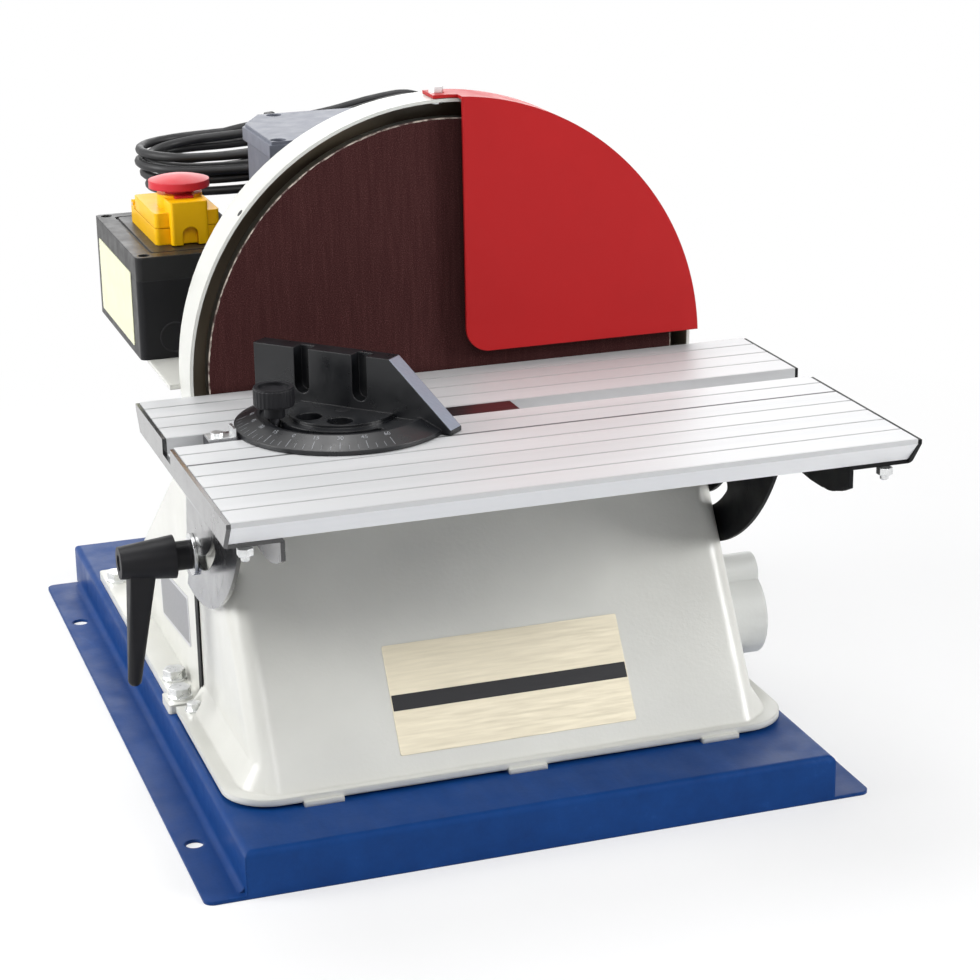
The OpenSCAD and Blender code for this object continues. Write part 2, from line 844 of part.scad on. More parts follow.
module button_block(y, h) {
    translate([0, 0, lid_top + button_low]) linear_extrude(h)
        round_rect([stop_x - 9, y - 9], [stop_x + 9, y + 9], 2.7);
}

// The start button ends flush with the base, clear of the flap's back wall
module start_button() {
    color("limegreen") button_block(button_y + 52, base_h - button_low);
}

module off_button() {
    color("red") button_block(button_y + 24, 8);
}

// Yellow flap with a ridge that runs into a front pull, which has an arched cut-out
module switch_flap() {
    x1 = button_x + button_w;
    pull_hw = 12;
    ridge_top = flap_top + ridge_h;
    color("gold") difference() {
        union() {
            translate([0, 0, flap_z]) linear_extrude(flap_h) round_rect([button_x, button_y], [x1, hinge_y - 9], 3);
            translate([0, 0, lid_top + 0.6]) linear_extrude(ridge_top - lid_top - 0.6)
                round_rect([stop_x - pull_hw, button_y - 8], [stop_x + pull_hw, button_y - 0.4], 2);
            translate([stop_x - pull_hw, button_y - 4, flap_z]) cube([2 * pull_hw, stop_y - button_y + 4, ridge_top - flap_z]);
            translate([button_x + 4.4, hinge_y - 12, flap_z]) cube([button_w - 8.8, 12, 4]);
            rod_x(button_x + 4.4, x1 - 4.4, 2.6, hinge_y, hinge_z + 0.4);
            translate([stop_x, stop_y, flap_top]) cylinder(h = collar_h, r = 14.5);
        }
        translate([0, 0, flap_z - over]) linear_extrude(flap_h - 3 + over)
            round_rect([button_x + 2.2, button_y + 2.2], [x1 - 2.2, hinge_y - 13], 2);
        rod_x(button_x, x1, 1.5 + fit, hinge_y, hinge_z);
        translate([stop_x, stop_y, flap_z]) cylinder(h = 40, r = 9 + run_gap);
        pull_y(button_y - 9, button_y - 3) {
            translate([stop_x - 5, lid_top]) square([10, 7]);
            translate([stop_x, lid_top + 7]) circle(5);
        }
        translate([0, 0, flap_top + 2]) linear_extrude(collar_h)
            round_rect([stop_x - 6.1, stop_y - 16.1], [stop_x + 6.1, stop_y - 9.3], 1);
    }
}

// Red latch piece in front of the button's collar
module flap_latch() {
    color("red") difference() {
        translate([0, 0, flap_top + 2]) linear_extrude(collar_h - 2)
            round_rect([stop_x - 6, stop_y - 16], [stop_x + 6, stop_y - 9.5], 1);
        translate([stop_x, stop_y, flap_z]) cylinder(h = 40, r = 9 + run_gap);
    }
}

// Red mushroom with a domed cap and a stem
module stop_button() {
    low = flap_top + collar_h + stop_travel + 0.6;
    color("red") translate([stop_x, stop_y, 0]) {
        translate([0, 0, low]) rotate_extrude() intersection() {
            translate([0, -52]) circle(stop_d / 2 + 40.5);
            square([stop_d / 2, 20]);
        }
        translate([0, 0, flap_z + 5 + stop_travel]) cylinder(h = low - flap_z - 5 - stop_travel + 1, r = 9);
    }
}

// Cord: tubes swept along points, and a coil whose loops come from a formula

function unit(v) = v / norm(v);
function cat_rom(a, b, c, d, t) =
    0.5 * (2 * b + (c - a) * t + (2 * a - 5 * b + 4 * c - d) * t * t + (3 * b - a - 3 * c + d) * t * t * t);

// Smooth run through the points p, with n steps for each stretch
function smooth_run(p, n) = let (e = concat([2 * p[0] - p[1]], p, [2 * p[len(p) - 1] - p[len(p) - 2]])) concat(
    [for (i = [1:len(p) - 1], k = [0:n - 1]) cat_rom(e[i - 1], e[i], e[i + 1], e[i + 2], k / n)],
    [p[len(p) - 1]]
);

// Tube of radius r with the given number of sides along the points p
module tube(p, r, sides) {
    n = len(p);
    along = [for (i = [0:n - 1]) unit(p[min(i + 1, n - 1)] - p[max(i - 1, 0)])];
    aside = [for (t = along) unit(cross(t, abs(t.z) > 0.8 ? [0, 1, 0] : [0, 0, 1]))];
    rings = [for (i = [0:n - 1], k = [0:sides - 1])
        let (a = 360 * k / sides) p[i] + r * (cos(a) * aside[i] + sin(a) * cross(aside[i], along[i]))];
    walls = [for (i = [0:n - 2], k = [0:sides - 1]) let (
        a = i * sides + k,
        b = i * sides + (k + 1) % sides
    ) each [[a, b, b + sides], [a, b + sides, a + sides]]];
    ends = [for (k = [1:sides - 2]) each [
        [0, k + 1, k],
        [(n - 1) * sides, (n - 1) * sides + k, (n - 1) * sides + k + 1]
    ]];
    polyhedron(rings, concat(walls, ends), convexity = 10);
}

// Point at step u of 24 round a track with straight sides and round ends
function track(u, r) =
    u < 4 ? [-coil_half + 2 * coil_half * u / 4, r] :
    u < 12 ? [coil_half + r * cos(90 - (u - 4) * 22.5), r * sin(90 - (u - 4) * 22.5)] :
    u < 16 ? [coil_half - 2 * coil_half * (u - 12) / 4, -r] :
    [-coil_half + r * cos(270 - (u - 16) * 22.5), r * sin(270 - (u - 16) * 22.5)];

function ease(t) = let (c = min(1, max(0, t))) c * c * (3 - 2 * c);

// Height of the coil above its seat on the fan cover: it slopes up to the right
function coil_lift(x) = coil_slope * (x - coil_seat_x) + coil_curl * pow(x - coil_seat_x, 2);

// Places a point of the coil's own plane in the part's frame
function coil_place(x, y, z) = let (
    p = [coil_mid.x + x * cos(coil_yaw) - y * sin(coil_yaw), coil_mid.y + x * sin(coil_yaw) + y * cos(coil_yaw)]
) [p.x, p.y, coil_mid.z + z + coil_lift(p.x)];

// Ring i of the coil: it spirals in and out by turns and climbs where it reverses
function coil_ring(i) = let (
    layer = min(layers - 1, floor(i / (layer_rings + climb_rings))),
    m = i - layer * (layer_rings + climb_rings),
    part = min(m, layer_rings) / layer_rings,
    inward = layer % 2 == 0 ? part : 1 - part,
    r = coil_out_r - coil_step * layer_rings / loop_rings * inward,
    p = track(i % loop_rings, r)
) coil_place(p.x, p.y, coil_rise * (layer + ease((m - layer_rings) / climb_rings)));

coil_turns = [for (i = [0:coil_rings]) coil_ring(i)];
coil_aim = unit(coil_turns[1] - coil_turns[0]);
coil_leave = unit(coil_turns[coil_rings] - coil_turns[coil_rings - 1]);
coil_in = coil_turns[0] - cord_d * coil_aim;
coil_end = coil_turns[coil_rings] + cord_d * coil_leave;
coil_path = concat([coil_in], coil_turns, [coil_end]);
function span_gap(p, a, b) = let (t = min(1, max(0, (p - a) * (b - a) / ((b - a) * (b - a))))) norm(p - a - t * (b - a));
coil_gap = min([for (i = [0:coil_rings], j = [0:coil_rings - 1]) if (abs(i - j) > 6)
    span_gap(coil_turns[i], coil_turns[j], coil_turns[j + 1])]) - cord_d;
echo(coil_gap = coil_gap);

gland_end = [gland_x, switch_y + switch_d + gland_l, gland_z];
mains_run = concat([gland_end + [0, cord_d, 0]], mains_points, [coil_in - cord_d * coil_aim]);
mains_path = concat([gland_end], smooth_run(mains_run, 3), [coil_in]);
over_coil = [for (x = [-30, 0, 30, coil_half]) coil_place(x, coil_out_r + 1, coil_rise * (layers - 1) + 2)];
plug_run = concat([coil_end + cord_d * coil_leave], over_coil, plug_points, [plug_at + [cord_d, 0, 0]]);
plug_path = concat([coil_end], smooth_run(plug_run, 3), [plug_at]);

module mains_lead() {
    color("#1a1a1c") tube(mains_path, cord_r, 8);
}

module cord_coil() {
    color("#1a1a1c") tube(coil_path, cord_r, 6);
}

module plug_lead() {
    color("#1a1a1c") tube(plug_path, cord_r, 8);
}

// Tapered strain relief at the back of the switch box
module cord_gland() {
    back = switch_y + switch_d;
    color("#141416") {
        rod_y(back - 3, back, 6, gland_x, gland_z);
        translate([gland_x, back, gland_z]) rotate([-90, 0, 0]) {
            cylinder(h = 5, r = 9);
            translate([0, 0, 5]) cylinder(h = gland_l - 5, r1 = 7, r2 = cord_r + 1);
        }
    }
}

// Round earthed plug lying on the tray
module mains_plug() {
    color("#141416") translate(plug_at) rotate([0, -90, 0]) {
        cylinder(h = 25, r1 = cord_r + 1, r2 = 8);
        translate([0, 0, 25]) cylinder(h = 8, r1 = 10, r2 = 18.6);
        difference() {
            translate([0, 0, 33]) cylinder(h = 22, r = 18.6);
            for (x = [-9.5, 9.5]) translate([0, x, 47]) cylinder(h = 10, r = 2.4 + fit);
        }
    }
}

module plug_pins() {
    color("silver") translate(plug_at) rotate([0, -90, 0])
        for (x = [-9.5, 9.5]) translate([0, x, 47]) cylinder(h = 27, r = 2.4);
}

// Sanding disc

hub_r = 30;

module disc_plate() {
    y0 = disc_y + abrasive_t;
    color("silver") difference() {
        union() {
            rod_y(y0, y0 + disc_t, disc_d / 2, 0, axis_z);
            rod_y(y0 + disc_t, plate_y - 1.5, hub_r, 0, axis_z);
        }
        rod_y(y0 + disc_t, plate_y, shaft_r + fit, 0, axis_z);
        translate([0, plate_y - 6, axis_z]) cylinder(h = hub_r + over, r = 2.5 + fit);
    }
}

module abrasive_disc() {
    color("saddlebrown") rod_y(disc_y, disc_y + abrasive_t, disc_d / 2, 0, axis_z);
}

module hub_screw() {
    color("dimgray") translate([0, plate_y - 6, axis_z + shaft_r + fit]) cylinder(h = hub_r - shaft_r - 2, r = 2.5);
}

// Table

// Section of the table in Y and Z
module table_section() {
    pocket_h = table_t - slot_h + 1;
    groove_w = 1.2;
    rib_w = 5;
    pocket_y = table_front + undercut + 6;
    slot_front = slot_y - slot_w / 2;
    pocket_w = (slot_front - rib_w - pocket_y - 2 * rib_w) / 3;
    front_bands = floor((slot_front - table_front - 4) / band_w);
    difference() {
        polygon([
            [table_front, table_z], [table_front, table_z - lip_h], [table_front + undercut, table_low],
            [table_back - undercut, table_low], [table_back, table_z - lip_h], [table_back, table_z]
        ]);
        translate([slot_y - slot_w / 2, table_z - slot_h]) square([slot_w, slot_h + over]);
        for (k = [1:front_bands]) translate([table_front + k * band_w, table_z - (k == 5 ? 4 : 1) * groove_h])
            square([groove_w, 9]);
        for (k = [1:3]) translate([slot_y + slot_w / 2 + k * band_w, table_z - groove_h]) square([groove_w, 9]);
        for (k = [0:2]) translate([pocket_y + k * (pocket_w + rib_w), table_low - over])
            square([pocket_w, pocket_h + over]);
        translate([slot_y + slot_w / 2 + rib_w, table_low - over])
            square([table_back - undercut - 6 - slot_y - slot_w / 2 - rib_w, pocket_h + over]);
    }
}

module table_plate() {
    color("silver") difference() {
        pull_x(table_shift - table_hl, table_shift + table_hl) table_section();
        table_bolt_places() translate([0, 0, -over]) cylinder(h = 8, r = 2.5 + fit);
    }
}

// Outline of the bracket's end plate in Y and Z
module end_plate_2d() {
    low = table_low - bracket_t;
    difference() {
        polygon([
            [table_front, table_z - 0.5], [table_front, table_z - lip_h], [table_front + undercut, low],
            [table_back - undercut, low], [table_back, table_z - lip_h], [table_back, table_z - 0.5]
        ]);
        translate([slot_y - slot_w / 2 - 1, table_z - slot_h - 0.5]) square([slot_w + 2, slot_h + 2]);
    }
}

// Slot that follows the tilt, from angle a0 to a1 forward of straight down
module arc_slot(a0, a1) {
    far = lobe_r * 2;
    intersection() {
        difference() {
            circle(arc_r + arc_w / 2);
            circle(arc_r - arc_w / 2);
        }
        polygon([[0, 0], far * [-sin(a0), -cos(a0)], far * [-sin((a0 + a1) / 2), -cos((a0 + a1) / 2)],
            far * [-sin(a1), -cos(a1)]]);
    }
    for (a = [a0, a1]) translate(arc_r * [-sin(a), -cos(a)]) circle(arc_w / 2);
}

// Trunnion plate in Y and Z: front lobe, arch and big lobe with the arc slot
module trunnion_2d() {
    strip_h = 8;
    strip_low = table_low - strip_h;
    nose_r = 40;
    nose_y = table_front + undercut + 30;
    blend_r = 30;
    blend_z = strip_low - blend_r - pivot_z;
    blend_y = -sqrt(pow(lobe_r + blend_r, 2) - pow(blend_z, 2));
    touch = lobe_r / (lobe_r + blend_r) * [blend_y, blend_z];
    difference() {
        union() {
            translate([table_front + undercut, strip_low])
                square([table_back - undercut - table_front - undercut, strip_h]);
            intersection() {
                translate([nose_y, table_low + 18]) circle(nose_r);
                translate([table_front + undercut, table_low - 60]) square([90, 60]);
            }
            translate([pivot_y, pivot_z]) {
                circle(pivot_boss);
                intersection() {
                    circle(lobe_r);
                    polygon([[pivot_boss, 0], [30, -lobe_r], [-2 * lobe_r, -lobe_r], touch, [touch.x, strip_low - pivot_z],
                        [0, strip_low - pivot_z + 2]]);
                }
                difference() {
                    polygon([[blend_y, strip_low - pivot_z + 1], [blend_y, strip_low - pivot_z], touch,
                        [touch.x + 1, strip_low - pivot_z + 1]]);
                    translate([blend_y, blend_z]) circle(blend_r);
                }
            }
        }
        translate([pivot_y, pivot_z]) {
            circle(stud_r + fit);
            arc_slot(-stud_turn - 5, tilt_max - stud_turn + 5);
        }
    }
}

// Sliver along Y that rounds the bracket's corner at x, z; the sides sx and sz point out of the sheet
module bend_cut(x, z, sx, sz) {
    pull_y(table_front - over, table_back + over) translate([x, z]) scale([sx, sz]) difference() {
        translate([-bracket_t, -bracket_t]) square(bracket_t + over);
        translate([-bracket_t, -bracket_t]) circle(bracket_t);
    }
}

// Bent bracket for the right end of the table, which lies at end_x
module bracket(end_x) {
    low = table_low - bracket_t;
    color("#17181b") difference() {
        union() {
            pull_x(end_x, end_x + bracket_t) end_plate_2d();
            translate([plate_in, table_front + undercut, low])
                cube([end_x + bracket_t - plate_in, table_d - 2 * undercut, bracket_t]);
            pull_x(plate_in, plate_out) trunnion_2d();
        }
        bend_cut(end_x + bracket_t, low, 1, -1);
        bend_cut(plate_in, table_low, -1, 1);
        table_bolt_places() translate([0, 0, -20]) cylinder(h = 22, r = 2.5 + fit);
    }
}

module right_bracket() {
    bracket(table_hl + table_shift);
}

module left_bracket() {
    mirror([1, 0, 0]) bracket(table_hl - table_shift);
}

module table_bolt_places() {
    for (x = [-table_bolt_x, table_bolt_x], y = table_bolt_ys) translate([x, y, table_low]) children();
}

module table_bolts() {
    color("silver") table_bolt_places() {
        translate([0, 0, -bracket_t - 4]) hex_head(8, 4);
        translate([0, 0, -bracket_t]) cylinder(h = bracket_t + 5, r = 2.5);
    }
}

module pivot_bolts() {
    color("silver") both_sides() {
        rod_x(body_hw - wall_t, plate_out + 1, stud_r, pivot_y, pivot_z);
        rod_x(body_hw, plate_in - 0.2, stud_r + 2.4, pivot_y, pivot_z);
        translate([plate_out + 0.2, pivot_y, pivot_z]) rotate([0, 90, 0]) hex_head(13, 5.3);
    }
}

// Clamp stud with its big washer, on the left
module clamp_stud() {
    color("silver") mirror([1, 0, 0]) {
        rod_x(body_hw - wall_t, plate_out + 40, stud_r, stud_y, stud_z);
        rod_x(plate_out + 0.2, plate_out + 2.2, 13, stud_y, stud_z);
    }
}

// Guide bolt and washer in the right-hand arc slot
module guide_bolt() {
    color("silver") {
        rod_x(body_hw - wall_t, plate_out + 3, stud_r, stud_y, stud_z);
        rod_x(plate_out + 0.2, plate_out + 2.2, 13, stud_y, stud_z);
        translate([plate_out + 2.2, stud_y, stud_z]) rotate([0, 90, 0]) hex_head(13, 5.3);
    }
}

// Clamping lever: a tapered hub on the stud and a handle that leans out as it hangs
lever_x = plate_out + 2.5;
lever_collar = 10;
lever_l = 44;

module lock_lever() {
    hub_end = lever_x + lever_l;
    color("#1b1b1d") mirror([1, 0, 0]) difference() {
        union() {
            rod_x(lever_x, lever_x + lever_collar + over, 9, stud_y, stud_z);
            translate([lever_x + lever_collar, stud_y, stud_z]) rotate([0, 90, 0])
                cylinder(h = lever_l - lever_collar, r1 = 13.5, r2 = 10);
            hull() {
                rod_x(hub_end - 22, hub_end - 6, 8, stud_y, stud_z);
                translate([hub_end - 5.3, stud_y, stud_z - 77]) sphere(4.3, $fn = 32);
            }
        }
        rod_x(lever_x - over, hub_end - 5, stud_r + fit, stud_y, stud_z);
        rod_x(hub_end - 5.2, hub_end + over, 5 + fit, stud_y, stud_z);
    }
}

module lever_screw() {
    hub_end = lever_x + lever_l;
    color("dimgray") mirror([1, 0, 0]) rod_x(hub_end - 5.2, hub_end - 1, 5, stud_y, stud_z);
}

// Mitre gauge

module gauge_bar() {
    low = table_z - slot_h + 0.2;
    color("dimgray") {
        translate([bar_x0, slot_y - bar_w / 2, low]) cube([bar_l, bar_w, bar_top - low]);
        translate([-gauge_x, slot_y, bar_top - over]) cylinder(h = gauge_z + head_h - bar_top + over, r = 4);
        translate([-gauge_x - arc_slot_r, slot_y, bar_top - over]) cylinder(h = knob_z + 10 - bar_top + over, r = 3);
    }
}

module gauge_pointer() {
    x1 = -gauge_x - gauge_r - 1.5;
    color("silver") {
        translate([bar_x0, slot_y - 6, bar_top]) cube([x1 - bar_x0, 12, 1.5]);
        translate([x1 - 1.5, slot_y - 6, bar_top]) cube([1.5, 12, 6]);
        translate([bar_x0 + 6, slot_y, bar_top + 1.5]) cylinder(h = 2, r = 3.5);
    }
}

// Head in its own frame: U along the fence, V towards the work
module gauge_head_local() {
    fence_top_l = 91;
    fence_u1 = fence_u0 + fence_top_l + fence_h;
    difference() {
        union() {
            intersection() {
                rotate_extrude() polygon([
                    [0, 0], [gauge_r, 0], [gauge_r, 2.5], [gauge_r - 13, head_h], [gauge_r - 15, head_h],
                    [gauge_r - 15, head_h - 2], [arc_slot_r - 9, head_h - 2], [arc_slot_r - 9, head_h], [0, head_h]
                ]);
                translate([-gauge_r, -gauge_r, 0]) cube([2 * gauge_r, gauge_r + fence_v + 2, head_h]);
            }
            translate([0, fence_v + fence_t, 0]) rotate([90, 0, 0]) linear_extrude(fence_t) polygon([
                [fence_u0, 0], [fence_u1, 0], [fence_u1, 2.5], [fence_u0 + fence_top_l, fence_h], [fence_u0, fence_h]
            ]);
        }
        translate([0, 0, -over]) cylinder(h = 20, r = 4 + fit);
        translate([0, 0, -over]) linear_extrude(20) swing_slot();
        for (u = [-30, 9]) translate([u, fence_v + fence_t - 4, 0]) rotate([90, 0, 0]) linear_extrude(20) {
            translate([-5, 18]) square([10, fence_h]);
            translate([0, 18]) circle(5);
        }
        for (a = [-62, -118]) translate([22 * cos(a), 22 * sin(a), -over]) cylinder(h = 20, r = 7.5);
    }
}

// Slot under the clamp knob, with room for the full swing
module swing_slot() {
    w = 3.4;
    a1 = 62;
    intersection() {
        difference() {
            circle(arc_slot_r + w);
            circle(arc_slot_r - w);
        }
        polygon([[0, 0], 90 * [sin(a1), -cos(a1)], [0, -90], 90 * [-sin(a1), -cos(a1)]]);
    }
    for (a = [-a1, a1]) translate(arc_slot_r * [sin(a), -cos(a)]) circle(w);
}

module gauge_head() {
    color("#1e2022") translate([-gauge_x, slot_y, gauge_z]) rotate([0, 0, gauge_turn - 90]) gauge_head_local();
}

module gauge_knob() {
    color("#19191b") translate([-gauge_x - arc_slot_r, slot_y, knob_z]) difference() {
        union() {
            cylinder(h = 8, r = 6);
            translate([0, 0, 7]) cylinder(h = 11, d = knob_d);
        }
        translate([0, 0, -over]) cylinder(h = 12, r = 3 + fit);
        translate([0, 0, 16]) cylinder(h = 5, d = knob_d - 5);
    }
}

base_tray();
front_housing();
disc_housing();
rear_stand();
dust_port();
disc_guard();
guard_screws();
foot_bolts();
housing_screws();
pivot_bolts();
clamp_stud();
guide_bolt();
motor_flange();
motor_frame();
motor_stator();
motor_rear_shield();
fan_cover();
flange_screws();
front_bearing();
rear_bearing();
terminal_box();
terminal_lid();
terminal_screws();
switch_bracket();
switch_box();
switch_lid();
switch_lid_screws();
switch_base();
flap_pin();
cord_gland();
mains_lead();
cord_coil();
plug_lead();
mains_plug();
plug_pins();
motor_shaft();
motor_rotor();
cooling_fan();
disc_plate();
abrasive_disc();
hub_screw();
table_plate();
left_bracket();
right_bracket();
table_bolts();
lock_lever();
lever_screw();
gauge_bar();
gauge_pointer();
gauge_head();
gauge_knob();
switch_flap();
flap_latch();
stop_button();
start_button();
off_button();
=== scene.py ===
import math

import bmesh
import bpy
from mathutils import Matrix, Vector, noise


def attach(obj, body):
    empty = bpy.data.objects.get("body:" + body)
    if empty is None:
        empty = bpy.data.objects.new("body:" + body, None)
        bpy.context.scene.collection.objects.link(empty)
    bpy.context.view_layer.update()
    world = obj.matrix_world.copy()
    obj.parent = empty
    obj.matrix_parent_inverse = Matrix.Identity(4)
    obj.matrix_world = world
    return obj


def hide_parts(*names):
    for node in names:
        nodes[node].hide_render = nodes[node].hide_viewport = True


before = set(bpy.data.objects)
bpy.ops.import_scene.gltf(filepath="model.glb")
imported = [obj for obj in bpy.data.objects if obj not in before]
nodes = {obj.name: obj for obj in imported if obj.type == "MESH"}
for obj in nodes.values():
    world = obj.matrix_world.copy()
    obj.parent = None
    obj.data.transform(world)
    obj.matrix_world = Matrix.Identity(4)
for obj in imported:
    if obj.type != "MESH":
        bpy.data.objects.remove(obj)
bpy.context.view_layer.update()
scene = bpy.context.scene
scene.view_settings.view_transform = "Standard"

# Forms are drawn in millimetres; meshes, shaders, camera and lamps are in metres
MM = 0.001

# Height of the disc's axis
AXIS_MM = 248.5
AXIS_Z = AXIS_MM * MM

# Camera, at the photograph's viewing angle
CAMERA_TURN = (-18.60, 18.41, -0.94)
CAMERA_AT = (-0.44848, -1.49530, 0.65640)
CAMERA_LENS, CAMERA_SENSOR, CAMERA_REACH = 91.12, 36, 50


def make_camera():
    az, el, roll = (math.radians(a) for a in CAMERA_TURN)
    back = Vector((math.sin(az) * math.cos(el), -math.cos(az) * math.cos(el), math.sin(el)))
    side = Vector((0, 0, 1)).cross(back).normalized()
    top = back.cross(side)
    right = side * math.cos(roll) + top * math.sin(roll)
    up = top * math.cos(roll) - side * math.sin(roll)
    data = bpy.data.cameras.new("camera")
    data.lens = CAMERA_LENS
    data.sensor_width = CAMERA_SENSOR
    data.clip_end = CAMERA_REACH
    cam = bpy.data.objects.new("camera", data)
    scene.collection.objects.link(cam)
    m = Matrix((right, up, back)).transposed().to_4x4()
    m.translation = CAMERA_AT
    cam.matrix_world = m
    scene.camera = cam


make_camera()


# Cord: the route of the solids
CORD_D = 6.3
COIL_MID = Vector((-34, 172, 326.8))
COIL_YAW = math.radians(-20)
COIL_HALF, COIL_R, COIL_STEP, COIL_RISE = 60, 42, 8.4, 8
COIL_SEAT_X, COIL_SLOPE, COIL_CURL = -15, 0.2, 0.001
STRAIGHT, BEND = 4, 8
LOOP = 2 * (STRAIGHT + BEND)
LAYER, CLIMB, LAYERS = 21, 12, 4
COIL_RINGS = LAYERS * LAYER + (LAYERS - 1) * CLIMB
OVER_PLACE = (COIL_R + 1, COIL_RISE * (LAYERS - 1) + 2)
OVER_COIL = (-30, 0, 30, 60)
GLAND_END = Vector((-133, 178, 266.5))
PLUG_AT = Vector((46, 246, 48))
MAINS = [(-133, 204, 270), (-127, 221, 281), (-113, 234, 296)]
TO_PLUG = [
    (60, 184, 369), (78, 184, 360), (91, 189, 341), (99, 197, 314), (104, 207, 280), (108, 216, 238),
    (109, 222, 190), (108, 229, 140), (105, 236, 100), (95, 242, 70), (80, 245, 54),
]


def ease(t):
    c = min(1, max(0, t))
    return c * c * (3 - 2 * c)


def coil_place(x, y, z):
    c, s = math.cos(COIL_YAW), math.sin(COIL_YAW)
    at = COIL_MID + Vector((x * c - y * s, x * s + y * c, z))
    out = at.x - COIL_SEAT_X
    return at + Vector((0, 0, COIL_SLOPE * out + COIL_CURL * out * out))


def track(u, r):
    """Place u of LOOP round the coil: a straight run, a half circle, a run back and a half circle."""
    if u < STRAIGHT:
        return -COIL_HALF + 2 * COIL_HALF * u / STRAIGHT, r
    if u < STRAIGHT + BEND:
        a = math.radians(90 - (u - STRAIGHT) * 180 / BEND)
        return COIL_HALF + r * math.cos(a), r * math.sin(a)
    back = u - STRAIGHT - BEND
    if back < STRAIGHT:
        return COIL_HALF - 2 * COIL_HALF * back / STRAIGHT, -r
    a = math.radians(270 - (back - STRAIGHT) * 180 / BEND)
    return -COIL_HALF + r * math.cos(a), r * math.sin(a)


def coil_local(i):
    """Point i of the winding, level: along the runs, across them and up."""
    block = LAYER + CLIMB
    layer = min(LAYERS - 1, math.floor(i / block))
    m = i - layer * block
    part = min(m, LAYER) / LAYER
    inward = part if layer % 2 == 0 else 1 - part
    x, y = track(i % LOOP, COIL_R - COIL_STEP * LAYER / LOOP * inward)
    return x, y, COIL_RISE * (layer + ease((m - LAYER) / CLIMB))


def fine_coil():
    return [coil_local(k / 4) for k in range(4 * COIL_RINGS + 1)]


def smooth_run(p, n=8):
    """Curve through the points p, with n steps between two of them."""
    e = [2 * p[0] - p[1]] + p + [2 * p[-1] - p[-2]]
    out = []
    for i in range(1, len(p)):
        a, b, c, d = e[i - 1:i + 3]
        for k in range(n):
            t = k / n
            out.append(0.5 * (2 * b + (c - a) * t + (2 * a - 5 * b + 4 * c - d) * t * t
                              + (3 * b - a - 3 * c + d) * t ** 3))
    return out + [p[-1]]


def cord_route():
    turns = [coil_place(*coil_local(i)) for i in range(COIL_RINGS + 1)]
    aim = (turns[1] - turns[0]).normalized() * CORD_D
    leave = (turns[-1] - turns[-2]).normalized() * CORD_D
    first, last = turns[0] - aim, turns[-1] + leave
    coil = [coil_place(*p) for p in fine_coil()]
    over = [coil_place(x, *OVER_PLACE) for x in OVER_COIL]
    from_gland = GLAND_END + Vector((0, CORD_D, 0))
    to_plug = PLUG_AT + Vector((CORD_D, 0, 0))
    lead = smooth_run([from_gland] + [Vector(v) for v in MAINS] + [first - aim])
    tail = smooth_run([last + leave] + over + [Vector(v) for v in TO_PLUG] + [to_plug])
    return [GLAND_END] + lead + [first] + coil + [last] + tail + [PLUG_AT]


def make_cord():
    path = [v * MM for v in cord_route()]
    data = bpy.data.curves.new("mains_cord", "CURVE")
    data.dimensions = "3D"
    data.bevel_depth = 1
    data.bevel_resolution = 3
    data.use_fill_caps = True
    spline = data.splines.new("POLY")
    spline.points.add(len(path) - 1)
    for point, v in zip(spline.points, path):
        point.co = (*v, 1)
        point.radius = CORD_D / 2 * MM
    spline.use_smooth = True
    cord = bpy.data.objects.new("mains_cord", data)
    scene.collection.objects.link(cord)
    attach(cord, "frame")
    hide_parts("mains_lead", "cord_coil", "plug_lead")
    return cord


mains_cord = make_cord()


# Materials
def add_node(tree, kind, **values):
    """New node with values for its sockets, or for its settings where no socket has the name."""
    n = tree.nodes.new(kind)
    for key, value in values.items():
        if key in n.inputs:
            n.inputs[key].default_value = value
        else:
            setattr(n, key, value)
    return n


